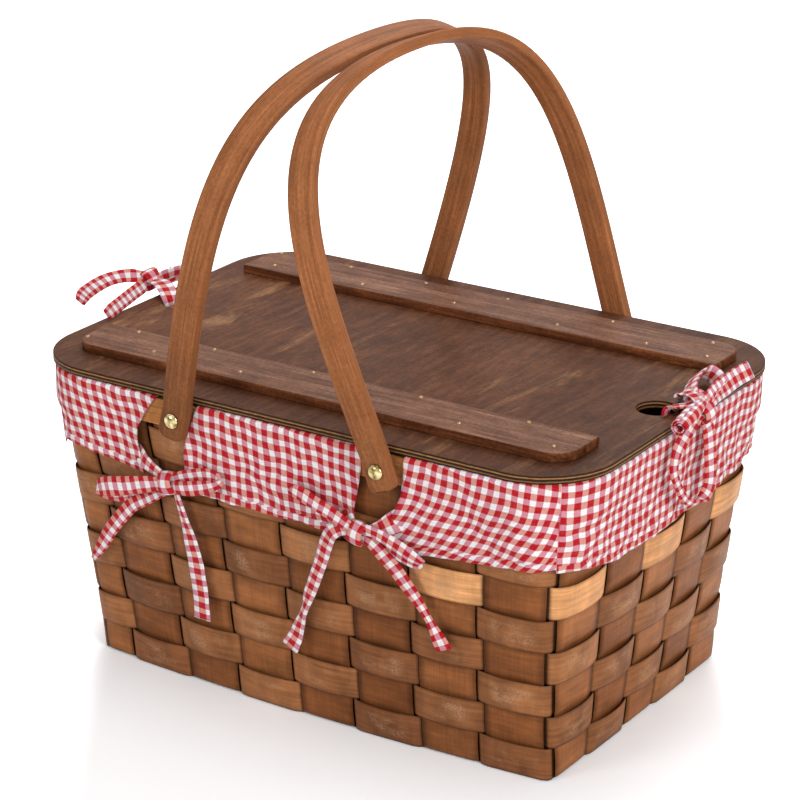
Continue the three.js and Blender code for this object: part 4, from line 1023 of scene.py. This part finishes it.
class Bow:
    """Strips of one tie.

    A stop is a place in the bow's own frame, then a share of the width and a twist in degrees where needed.
    """

    def __init__(self, label, place, out):
        self.label, self.place, self.out = label, place, out
        self.shell = Shell()
        self.length = 0.0

    def strip(self, stops, across=None, width=TIE_WIDTH):
        stops = [tuple(s) + (1.0, 0.0)[len(s) - 3:] for s in stops]
        line = np.array([list(self.place(s[:3])) + list(s[3:]) for s in stops])
        rows = smooth_line(line, STRIP_STEPS)
        centres = rows[:, :3]
        tangents = np.gradient(centres, axis=0)
        along = walked(centres)
        rings = []
        section = flat_section(width, TIE_THICKNESS)
        for i, (centre, tangent) in enumerate(zip(centres, tangents)):
            tangent = unit(tangent)
            wide = np.cross(self.out, tangent) if across is None else np.array(across, float)
            wide = unit(wide - tangent * np.dot(wide, tangent))
            thin = np.cross(tangent, wide)
            turn = math.radians(rows[i, 4])
            cos, sin = math.cos(turn), math.sin(turn)
            wide, thin = wide * cos + thin * sin, thin * cos - wide * sin
            share = rows[i, 3]
            puff = mix(1.6, 1.0, min(1.0, share))
            ring = []
            for w, t in section:
                crease = 0.5 * wave(along[i] * 0.11, w * 0.25, self.length * 0.01 + 4.0)
                ring.append(centre + wide * w * share + thin * (t * puff + crease))
            rings.append(ring)
        shift = self.length * 1.37
        self.shell.tube(rings, along + shift, section[:, 0] + shift * 0.31)
        self.length += along[-1]

    def knot(self, centre, axis, radii, width):
        """A band of the tie wrapped once round the middle of the bow."""
        axis = unit(np.array(axis, float))
        up = upright(axis)
        side = np.cross(axis, up)
        middle = self.place(centre)
        section = flat_section(width, TIE_THICKNESS * 1.5)
        rings = []
        for angle in np.arange(KNOT_STEPS) * 2 * math.pi / KNOT_STEPS:
            radial = up * math.cos(angle) * radii[0] + side * math.sin(angle) * radii[1]
            out = unit(up * math.cos(angle) / radii[0] + side * math.sin(angle) / radii[1])
            pinch = 1.0 + 0.12 * math.sin(3 * angle + 1.0)
            rings.append([middle + radial + axis * w * pinch + out * (t - 0.05 * abs(w)) for w, t in section])
        girth = math.pi * (radii[0] + radii[1])
        along = np.arange(KNOT_STEPS) * girth / KNOT_STEPS
        self.shell.tube(rings, along, section[:, 0], closed=True, span=girth)
        self.length += girth

    def make(self, body):
        piece = self.shell.piece(f"{self.label}_tie", body, "gingham", [GINGHAM], [f"{self.label}_bow"])


def wall_bow(label, run, shape):
    """A bow on a long wall, in a frame of place along the wall, height, and distance out of the wall."""
    along = 1.0 if run == FRONT else -1.0
    bow = Bow(label, lambda stop: wall_point(run, *stop), np.array([0.0, -along, 0.0]))

    def wide(direction):
        return np.array([along * direction[0], 0.0, direction[1]])

    for stops, direction in shape["loops"]:
        bow.strip(stops, wide(direction))
    for stops in shape["tails"]:
        bow.strip(stops)
    bow.knot(shape["knot"], wide((1.0, shape["tilt"])), WALL_KNOT_RADII, WALL_KNOT_WIDTH)
    bow.make("basket")


LEFT_BOW = {
    "knot": (-91.0, 153.0, 10.6), "tilt": 0.2,
    "loops": [
        ([(-90, 153, 10, 0.7), (-98, 151.5, 13.0, 0.95), (-109, 148.8, 14.0, 1.15), (-126, 143.6, 14.4, 1.3),
          (-141, 139.4, 13.8, 1.35), (-150.0, 136.0, 12.4, 1.15), (-153.5, 133.0, 10.6, 0.75),
          (-150, 131.0, 8.8, 0.95), (-138, 132.6, 7.6, 1.2), (-122, 137.5, 7.2, 1.2), (-106, 143.5, 7.6, 1.0),
          (-92, 151, 9.0, 0.7)], (0.2, 1.0)),
        ([(-92, 154, 10, 0.7), (-84, 158, 9.4, 0.75), (-73, 162, 9.2, 0.85), (-61, 165.6, 9.6, 0.9),
          (-52, 167, 10.4, 0.85), (-47.8, 164.5, 11.6, 0.7), (-52, 161.2, 12.8, 0.75),
          (-62, 157.4, 13.4, 0.95), (-75, 153.6, 13.2, 1.0), (-85, 151.5, 12.0, 0.8),
          (-92, 152, 10.4, 0.6)], (-0.25, 1.0)),
    ],
    "tails": [
        [(-91, 149, 10, 0.6), (-99, 144.5, 9.2, 0.8), (-115, 134.5, 8.8, 0.9), (-127, 127, 8.8),
         (-138, 115.5, 9.0), (-148.5, 103.5, 9.2), (-158, 90, 9.4, 0.9), (-168.5, 75.5, 9.6, 0.45)],
        [(-89, 150, 10, 0.6), (-86.3, 146, 9.8, 0.55, 25), (-84.5, 139, 9.4, 0.65, 25),
         (-82.6, 130, 9.0, 0.8, 18), (-79.8, 116, 9.0, 1.1, 8), (-77, 101, 9.2, 1.2),
         (-75.9, 87, 9.2, 1.25), (-75.4, 72, 9.4, 1.25), (-76, 55.5, 9.6, 1.3)],
        [(-121, 167, 2.8, 1.2), (-114, 163.5, 6.4, 1.1), (-107, 161, 8.6, 0.9), (-99, 158, 9.6, 0.7),
         (-91, 153, 10.0, 0.6)],
        [(-66, 163, 2.8, 1.0), (-76, 160, 7.0, 0.8), (-83, 157, 9.0, 0.6), (-90, 153, 9.8, 0.5)],
    ],
}
RIGHT_BOW = {
    "knot": (57.5, 153.4, 10.6), "tilt": -0.2,
    "loops": [
        ([(58, 153, 10, 0.7), (51, 158.4, 13.0, 0.85), (42, 163.4, 13.8, 0.95), (29.6, 168.4, 14.0),
          (18.3, 171.8, 13.0), (11, 172.6, 11.4, 0.8), (9, 171.2, 9.8, 0.55), (14, 169, 8.4, 0.8),
          (27, 164, 7.6, 0.95), (41, 158.4, 7.8, 0.85), (56, 152, 9.0, 0.6)], (0.5, 1.0)),
        ([(57, 155, 10, 0.6), (66, 157.6, 11.6, 0.7), (77.6, 155.6, 12.4, 0.8), (89, 151.4, 12.6, 0.9),
          (98.4, 146.6, 12.0, 0.75), (103, 143.6, 10.6, 0.45), (98, 141.0, 9.0, 0.7), (86, 143.4, 8.2, 0.8),
          (72, 149.6, 8.4, 0.75), (58, 152, 9.2, 0.6)], (0.35, 1.0)),
    ],
    "tails": [
        [(57, 154.5, 11.4, 0.7), (48, 155, 13.0, 0.85), (39.6, 150.4, 13.0, 0.95), (33.2, 141.3, 11.0),
         (27.7, 128.5, 9.6, 0.95), (21, 112.8, 9.2, 0.9), (14.8, 98.7, 9.2, 0.85), (9.6, 85, 9.4, 0.6, 25),
         (5, 74, 9.5, 0.8), (1, 64, 9.6, 1.05), (-4, 54.6, 9.8, 1.25)],
        [(58, 151.5, 10.4, 0.7), (67, 149, 10.8, 0.9), (74.7, 141.4, 10.0, 1.05), (82.4, 133.2, 9.6, 1.1),
         (91.4, 121.8, 9.3, 1.0), (99.3, 111, 9.2, 0.6, -25), (105.1, 101.1, 9.4, 0.5, -45),
         (109.6, 92.3, 9.6, 0.85, -25), (113.6, 83.5, 9.6, 1.25)],
        [(43, 168, 2.8, 1.0), (49, 161, 7.0, 0.8), (53, 157, 9.2, 0.6), (57, 153, 10.0, 0.5)],
        [(90, 170, 2.8, 1.5), (81, 164, 6.0, 1.4), (72, 158.5, 8.8, 1.0), (60, 154, 10.0, 0.6)],
    ],
}

wall_bow("front_left", FRONT, LEFT_BOW)
wall_bow("front_right", FRONT, RIGHT_BOW)
wall_bow("back_right", BACK, LEFT_BOW)
wall_bow("back_left", BACK, RIGHT_BOW)


# Lid bows, placed in the basket's own coordinates

def lid_bow(label, side, strips, knot):
    bow = Bow(label, np.array, np.array([side, 0.0, 0.3]))
    for stops, across, width in strips:
        bow.strip(stops, across, width)
    bow.knot(*knot)
    bow.make("lid")


RIGHT_LID_STRIPS = [
    ([(217, 6, 217, 0.7), (217.5, 12.5, 205, 0.95), (217.5, 15, 194), (217.5, 17, 178),
      (217.5, 16, 167, 0.95), (217.5, 9, 160.5, 0.8), (217.5, -4, 161, 0.6), (217.5, -17, 169, 0.55),
      (217.5, -27, 182, 0.55), (217.5, -32, 194, 0.65), (217.5, -26, 206, 0.8), (217, -8, 215, 0.7),
      (217, 5, 218, 0.5)],
     (0.35, 1.0, 0.1), 10.0),
    ([(216, 4, 220, 0.8), (207, 11, 223, 1.0), (199, 21, 225), (193, 38, 226), (191.5, 51, 226),
      (195, 56, 224.5), (203, 51, 223), (209, 40, 222), (213, 24, 221, 0.9), (217, 8, 220, 0.7)],
     (0.7, 0.3, 0.65), 11.5),
    ([(218, 4, 222, 0.8), (216, 16, 224, 0.9), (213.5, 30, 224), (212, 45, 223.5), (211.5, 60, 224),
      (213.5, 75, 225)], (-0.5, 0.15, 0.85), 12.0),
    ([(198, -8, 214.5, 0.6), (197.5, -5, 219.5, 0.8), (202, 1, 221), (210, 4, 222), (217, 6, 220, 0.8)],
     (0.2, 1.0, 0.0), 12.0),
    ([(193, 15, 220, 0.8), (196, 17, 224), (203, 16, 226), (211, 11, 226), (218, 6, 222, 0.8)],
     (0.3, 1.0, 0.1), 12.0),
]
lid_bow("right_lid", 1.0, RIGHT_LID_STRIPS, ((217.5, 7.0, 219.0), (0.2, 1.0, 0.4), (6.2, 5.0), 10.0))

LEFT_LID_STRIPS = [
    ([(-222, 11, 226, 0.8), (-228, 3, 228, 0.95), (-235, -4, 228.5), (-239, -19, 228.5), (-235.5, -42, 228),
      (-231, -53, 228, 0.95), (-227, -60, 227.5, 0.75)], (-0.8, 0.0, 0.6), 10.5),
    ([(-222, 7, 223.5, 0.7), (-220, -3, 222.5), (-217, -15, 222.5), (-210, -38, 223), (-206, -52, 223),
      (-204, -60, 222.5, 0.8)], (-0.6, 0.0, 0.8), 9.5),
    ([(-221, 14, 224, 0.7), (-214, 20, 227), (-209, 30, 228.5), (-208, 36, 227), (-211, 33, 224),
      (-217, 22, 222.5), (-221, 13, 223, 0.7)], (0.3, 0.0, 1.0), 9.0),
    ([(-222, 12, 222, 0.7), (-225, 22, 220), (-227, 34, 219), (-226, 42, 221), (-223, 34, 224),
      (-222, 22, 224), (-221, 13, 223, 0.7)], (1.0, 0.0, 0.4), 9.0),
    ([(-193, -3, 214.5, 0.8), (-194.5, -3, 219.5, 1.0), (-200, 1, 223, 1.1), (-209, 6, 225.5, 1.1),
      (-221, 11, 224, 0.9)], (0.5, 1.0, 0.0), 12.0),
]
lid_bow("left_lid", -1.0, LEFT_LID_STRIPS, ((-223.0, 11.0, 224.0), (0.2, 1.0, 0.2), (6.4, 5.4), 12.0))


ROLL_START, ROLL_END = np.array([218.0, 3.0, 226.5]), np.array([222.5, -36.0, 223.0])
# Turns of the roll, its radius, how fast that gets less, and the thickness of its cloth
ROLL_TURNS, ROLL_RADIUS, ROLL_TIGHTENING, ROLL_THICKNESS = 2.1, 6.1, 0.27, 0.9


def rolled_tail():
    """The end of the right lid bow's tail, rolled up on itself."""
    axis = unit(ROLL_END - ROLL_START)
    up = upright(axis)
    side = np.cross(axis, up)
    turns = np.linspace(0.0, 2.0 * math.pi * ROLL_TURNS, 44)
    rings, along = [], []
    for t in np.linspace(0.0, 1.0, 12):
        centre = mix(ROLL_START, ROLL_END, t)
        swell = mix(0.55, 1.0, min(1.0, t * 2.2))
        outer, inner = [], []
        for turn in turns:
            radius = (ROLL_RADIUS - ROLL_TIGHTENING * turn) * swell
            arm = up * math.cos(turn) + side * math.sin(turn)
            outer.append(centre + arm * radius)
            inner.append(centre + arm * (radius - ROLL_THICKNESS))
        rings.append(np.vstack([outer, inner[::-1]]))
        along.append(t * np.linalg.norm(ROLL_END - ROLL_START))
    shell = Shell()
    shell.tube(rings, along, both_ways(turns * 4.0))
    piece = shell.piece("right_lid_tie_roll", "lid", "gingham", [GINGHAM])


rolled_tail()


# Lid board, battens and brads

def rounded_loop(length, width, radii, steps):
    points = []
    corners = [(-1, -1, 180.0), (1, -1, 270.0), (1, 1, 0.0), (-1, 1, 90.0)]
    for (sx, sy, start), radius in zip(corners, radii):
        for angle in np.radians(np.linspace(start, start + 90.0, steps)):
            points.append((sx * (length / 2 - radius) + radius * math.cos(angle),
                           sy * (width / 2 - radius) + radius * math.sin(angle)))
    return np.array(points)


def thumb_hole(x, steps=40):
    angles = -np.arange(steps) * 2 * math.pi / steps
    return np.stack([x + THUMB_HOLE_RADIUS * np.cos(angles), THUMB_HOLE_RADIUS * np.sin(angles)], axis=1)


def loop_normals(loop):
    edge = np.roll(loop, -1, axis=0) - np.roll(loop, 1, axis=0)
    normal = np.stack([edge[:, 1], -edge[:, 0]], axis=1)
    return normal / np.linalg.norm(normal, axis=1)[:, None]


def plate(name, slot, materials, node, loops, bottom, top, bevel):
    """A flat board with rounded edges, from an outline and its holes. The second material is on its edge."""
    levels = []
    for angle in np.radians(np.linspace(0.0, 90.0, 4)):
        levels.append((bevel * (1 - math.sin(angle)), bottom + bevel * (1 - math.cos(angle))))
    levels += [(inset, top - (z - bottom)) for inset, z in levels[::-1]]
    points, faces, first = [], [], []
    for loop in loops:
        normals = loop_normals(loop)
        start, size = len(points), len(loop)
        first.append((start, size))
        for inset, z in levels:
            ring = loop - normals * inset
            points.extend([(x, y, z) for x, y in ring])
        for i in range(len(levels) - 1):
            for j in range(size):
                n = (j + 1) % size
                a, b = start + i * size, start + (i + 1) * size
                faces.append((a + j, a + n, b + n, b + j))
    sides = len(faces)
    for level, turn in ((0, -1), (len(levels) - 1, 1)):
        rings = [[start + level * size + j for j in range(size)] for start, size in first]
        order = [index for ring in rings for index in ring]
        triangles = geometry.tessellate_polygon([[Vector(points[i]) for i in ring] for ring in rings])
        for triangle in triangles:
            corners = [Vector(points[order[i]]) for i in triangle]
            up = (corners[1] - corners[0]).cross(corners[2] - corners[0]).z * turn > 0
            faces.append(tuple(order[i] for i in (triangle if up else triangle[::-1])))
    shell = Shell()
    flats = [[(points[i][0], points[i][1]) for i in face] for face in faces]
    shell.add(points, faces, flats, np.full(len(points), 0.5), np.zeros(len(points)))
    piece = shell.piece(name, "lid", slot, materials, [node])
    for index, polygon in enumerate(piece.data.polygons):
        polygon.use_smooth = index < sides
        polygon.material_index = 1 if index < sides else 0


LID_BEVEL, BATTEN_BEVEL, SQUARE_CORNER = 0.7, 0.8, 1.0
outline = rounded_loop(LID_LENGTH, LID_WIDTH, [LID_CORNER_RADIUS] * 4, 20)
plate("lid_panel", "lid_wood", [LID, PLY], "lid_board",
      [outline, thumb_hole(THUMB_HOLE_X), thumb_hole(-THUMB_HOLE_X)], LID_BOTTOM, LID_TOP, LID_BEVEL)

for label, side in (("front", -1), ("back", 1)):
    outer, inner = BATTEN_CORNER_RADIUS, SQUARE_CORNER
    radii = [outer, outer, inner, inner] if side < 0 else [inner, inner, outer, outer]
    outline = rounded_loop(BATTEN_LENGTH, BATTEN_WIDTH, radii, 12) + np.array([0.0, side * BATTEN_Y])
    plate(f"{label}_batten_board", "batten_wood", [BATTEN, BATTEN_EDGE], f"{label}_batten", [outline],
          BATTEN_BOTTOM, BATTEN_TOP, BATTEN_BEVEL)

# Rows of brads on each batten: place across the lid and places along it
BRADS = {
    "back": [(111.0, (-181, -121, -57, 9, 92, 168)), (85.0, (-169, -93, -18, 64, 132, 177))],
    "front": [(-103.0, (-185, -130, -60, 22, 106, 174)), (-78.0, (-162, -99, -20, 62, 141))],
}


def turned(shell, profile, place, steps, turn=np.eye(3)):
    """A turned shape: radius and height pairs from the bottom middle to the top middle."""
    angles = np.arange(steps) * 2 * math.pi / steps
    circle = np.stack([np.cos(angles), np.sin(angles)], axis=1)
    rings = [np.column_stack([radius * circle, np.full(steps, height)]) for radius, height in profile]
    shell.tube(np.array(rings) @ turn.T + place, [height for _, height in profile], np.arange(steps))


def dome(radius, seat, height, steps=6):
    angles = np.radians(np.linspace(0.0, 88.0, steps))
    return [(radius * math.cos(a), seat + height * math.sin(a)) for a in angles]


BRAD_PROFILE = [(TURNED_START, -BRAD_SINK), (BRAD_DIAMETER / 2, -BRAD_SINK)]
BRAD_PROFILE += dome(BRAD_DIAMETER / 2, 0.0, BRAD_HEIGHT)
for label, rows in BRADS.items():
    shell = Shell()
    for y, places in rows:
        for x in places:
            aside = BRAD_STRAY * (chance(int(x) + 300) - 0.5)
            turned(shell, BRAD_PROFILE, (x, y + aside, BATTEN_TOP), BRAD_STEPS)
    shell.piece(f"{label}_brads", "lid", "brass", [BRAD])


# Handles and rivets

def arch_line(arch, steps):
    """Middle line of half an arch, from above the front pivot to the top, as distance across and height."""
    reach, rise = arch["shoulder"]
    start, end = np.array([-LEG_MIDDLE, HANDLE_STRAIGHT]), np.array([0.0, arch["top"]])
    shoulder = np.array([-LEG_MIDDLE - reach, rise])
    crown = np.array([-LEG_MIDDLE - arch["crown_reach"], arch["top"]])
    t = np.linspace(0.0, 1.0, steps)[:, None]
    s = 1 - t
    return s ** 3 * start + 3 * s ** 2 * t * shoulder + 3 * s * t ** 2 * crown + t ** 3 * end


def handle_section(width, thickness, steps=4):
    """Section of a handle as across and through places, from the corner of its face and its side."""
    return np.roll(rounded_loop(width, thickness, [HANDLE_ROUNDING] * 4, steps), -2 * steps, axis=0)


def foot_rows():
    """Rows of a leg from its end to above the pivot: height, and shares of the width and the thickness."""
    rows = []
    for angle in np.radians(np.linspace(0.0, 90.0, 8)):
        height = -HANDLE_FOOT + HANDLE_FOOT_CORNER * (1 - math.cos(angle))
        rows.append((height, 1 - 2 * HANDLE_FOOT_CORNER * (1 - math.sin(angle)) / HANDLE_WIDTH, 1.0))
    height, width, _ = rows[0]
    rows[0] = (height + 0.4, width, 1.0)
    return [(height, width - 0.04, 0.86)] + rows + [(-3.0, 1.0, 1.0), (3.0, 1.0, 1.0)]


def handle_piece(label, side):
    arch = ARCHES[side]
    half = arch_line(arch, 44)
    line = np.vstack([half, (half * [-1, 1])[::-1][1:]])
    tangents = np.gradient(line, axis=0)
    tangents /= np.linalg.norm(tangents, axis=1)[:, None]
    stops = [((-LEG_MIDDLE, height), (0.0, 1.0), wide, thick) for height, wide, thick in foot_rows()]
    stops += [(point, tangent, 1.0, 1.0) for point, tangent in zip(line, tangents)]
    stops += [((LEG_MIDDLE, height), (0.0, -1.0), wide, thick) for height, wide, thick in foot_rows()[::-1]]
    turn = np.array(Matrix.Rotation(-side * math.asin(arch["inward"] / arch["top"]), 3, "Y"))
    rings, middles = [], []
    for (y, z), (ty, tz), wide, thick in stops:
        ring = []
        for x, out in handle_section(HANDLE_WIDTH * wide, HANDLE_THICKNESS * thick):
            ring.append((x, y - tz * out, z + ty * out))
        rings.append(np.array(ring) @ turn.T + np.array([side * PIVOT_X, 0.0, PIVOT_Z]))
        middles.append((y, z))
    around = walked(handle_section(HANDLE_WIDTH, HANDLE_THICKNESS))
    along = walked(np.array(middles))
    from_foot = np.minimum(along, along[-1] - along)
    tones = [mix(*HANDLE_SHADES[side], smooth_step(*FOOT_FADE, distance)) for distance in from_foot]
    shell = Shell()
    shell.tube(rings, along, around, tones=tones)
    shell.piece(f"{label}_arch", f"{label}_handle", "handle_wood", [HANDLE], [f"{label}_handle"])


def dress(name, material):
    """The finish of a CAD node that shows as it is."""
    materials = bpy.data.objects[name].data.materials
    materials.clear()
    materials.append(material)


# From the tail inside the rim to the head: radius and distance from the basket's middle
RIVET_PROFILE = [(TURNED_START, RIVET_TAIL), (RIVET_END, RIVET_TAIL + 0.5), (RIVET_END, RIVET_TAIL + 1.2),
                 (RIVET_SHANK, RIVET_TAIL + 1.2), (RIVET_SHANK, RIVET_SEAT), (RIVET_RADIUS - 0.3, RIVET_SEAT)]
RIVET_PROFILE += dome(RIVET_RADIUS, RIVET_SEAT + 0.4, RIVET_HEIGHT - 0.4, 9)
for label, side in (("left", -1), ("right", 1)):
    handle_piece(label, side)
    for wall, wall_side in (("front", -1), ("back", 1)):
        turn = np.array(Matrix.Rotation(-wall_side * math.pi / 2, 3, "X"))
        shell = Shell()
        turned(shell, RIVET_PROFILE, (side * PIVOT_X, 0.0, PIVOT_Z), RIVET_STEPS, turn)
        shell.piece(f"{label}_{wall}_stud", "basket", "brass", [BRASS], [f"{label}_{wall}_rivet"], sharp=50.0)
        dress(f"{label}_{wall}_washer", BRASS)
        dress(f"{label}_{wall}_burr", BRASS)

dress("outer_rim_band", BAND)
dress("inner_rim_band", BAND)


# Floor, light and camera

# The soft shadow lies before the basket's front corner. Here are its two ways over the floor, where it fades
# along them, its own glow at the left and right, and the glow outside it, where the floor shows white.
SHADOW_WAYS = ((0.83, 0.55, 0.0), (0.55, -0.83, 0.0))
SHADOW_SIDES = (0.198, 0.235)
SHADOW_FRONT, SHADOW_BACK = (0.24, 0.42), (-0.02, -0.08)
SHADOW_GLOW = (0.13, 0.2)
FLOOR_GLOW = 0.65


def stage_material():
    """Pale floor that keeps a soft shadow and shows white to the camera elsewhere."""
    nodes = Nodes("pale_floor")
    nodes.tree.nodes.remove(nodes.shader)
    diffuse = nodes.add("ShaderNodeBsdfDiffuse", (0.86, 0.86, 0.86, 1.0))
    pale = nodes.add("ShaderNodeBsdfDiffuse", (0.96, 0.97, 0.98, 1.0))
    place = nodes.place()
    across, toward = (nodes.add("ShaderNodeVectorMath", place, way, operation="DOT_PRODUCT").outputs["Value"]
                      for way in SHADOW_WAYS)
    beside = nodes.fit(nodes.math("ABSOLUTE", across), *SHADOW_SIDES)
    beyond = nodes.math("MAXIMUM", nodes.fit(toward, *SHADOW_FRONT), nodes.fit(toward, *SHADOW_BACK))
    lit = nodes.times(nodes.math("MAXIMUM", beside, beyond), FLOOR_GLOW)
    strength = nodes.plus(nodes.fit(across, 0.0, 0.2, *SHADOW_GLOW), lit)
    glow = nodes.add("ShaderNodeEmission", (1.0, 1.0, 1.0, 1.0), strength)
    seen = nodes.add("ShaderNodeAddShader", pale.outputs[0], glow.outputs[0])
    choice = nodes.add("ShaderNodeMixShader", nodes.seen_directly(), diffuse.outputs[0], seen.outputs[0])
    nodes.put(nodes.tree.nodes["Material Output"].inputs[0], choice.outputs[0])
    return nodes.owner


FLOOR_SIZE, FLOOR_DROP = 9.0, 0.0004
corners = [(x * FLOOR_SIZE, y * FLOOR_SIZE, -FLOOR_DROP) for x, y in ((-1, -1), (1, -1), (1, 1), (-1, 1))]
floor_mesh = bpy.data.meshes.new("floor")
floor_mesh.from_pydata(corners, [], [(0, 1, 2, 3)])
floor = bpy.data.objects.new("floor", floor_mesh)
bpy.context.collection.objects.link(floor)
floor_mesh.materials.append(stage_material())

# Light from all sides, less strong than the white that the camera sees
AMBIENT = 0.32
studio = Nodes("studio", bpy.data.worlds)
bpy.context.scene.world = studio.owner
background = studio.tree.nodes["Background"].inputs
studio.put(background["Color"], (1.0, 1.0, 1.0, 1.0))
studio.put(background["Strength"], studio.fit(studio.seen_directly(), 0.0, 1.0, AMBIENT, 1.0, "LINEAR"))


def area_light(name, location, target, size, power):
    light = bpy.data.lights.new(name, "AREA")
    light.shape = "DISK"
    light.size = size
    light.energy = power
    lamp = bpy.data.objects.new(name, light)
    lamp.location = location
    lamp.rotation_euler = (Vector(target) - Vector(location)).to_track_quat("-Z", "Y").to_euler()
    bpy.context.collection.objects.link(lamp)


area_light("overhead", (0.1, 0.0, 2.2), (0.0, 0.0, 0.1), 1.2, 12.0)
area_light("behind", (-0.5, 1.7, 1.9), (0.0, 0.0, 0.1), 1.4, 22.0)
area_light("key_right", (2.0, -1.0, 1.2), (0.0, 0.0, 0.15), 0.9, 33.0)
area_light("fill_front", (-0.9, -2.3, 1.1), (0.0, 0.0, 0.12), 1.0, 16.0)

CAMERA_PLACE = np.array([1.0006, -1.5099, 0.8762])
CAMERA_TARGET = np.array([0.09798, -0.15567, 0.25394])
CAMERA_ROLL = -0.25
CAMERA_LENS, SENSOR = 131.77, 36.0
forward = unit(CAMERA_TARGET - CAMERA_PLACE)
level_right = unit(np.cross(forward, UP))
level_up = np.cross(level_right, forward)
roll = math.radians(CAMERA_ROLL)
camera_right = level_right * math.cos(roll) + level_up * math.sin(roll)
camera_up = level_up * math.cos(roll) - level_right * math.sin(roll)
camera_data = bpy.data.cameras.new("camera")
camera_data.lens = CAMERA_LENS
camera_data.sensor_width = SENSOR
camera_data.sensor_fit = "HORIZONTAL"
camera_data.clip_end = 50.0
camera = bpy.data.objects.new("camera", camera_data)
matrix = np.eye(4)
matrix[:3] = np.stack([camera_right, camera_up, -forward, CAMERA_PLACE], axis=1)
camera.matrix_world = Matrix(matrix.tolist())
bpy.context.collection.objects.link(camera)
bpy.context.scene.camera = camera
bpy.context.scene.view_settings.view_transform = "Standard"

bpy.context.view_layer.update()
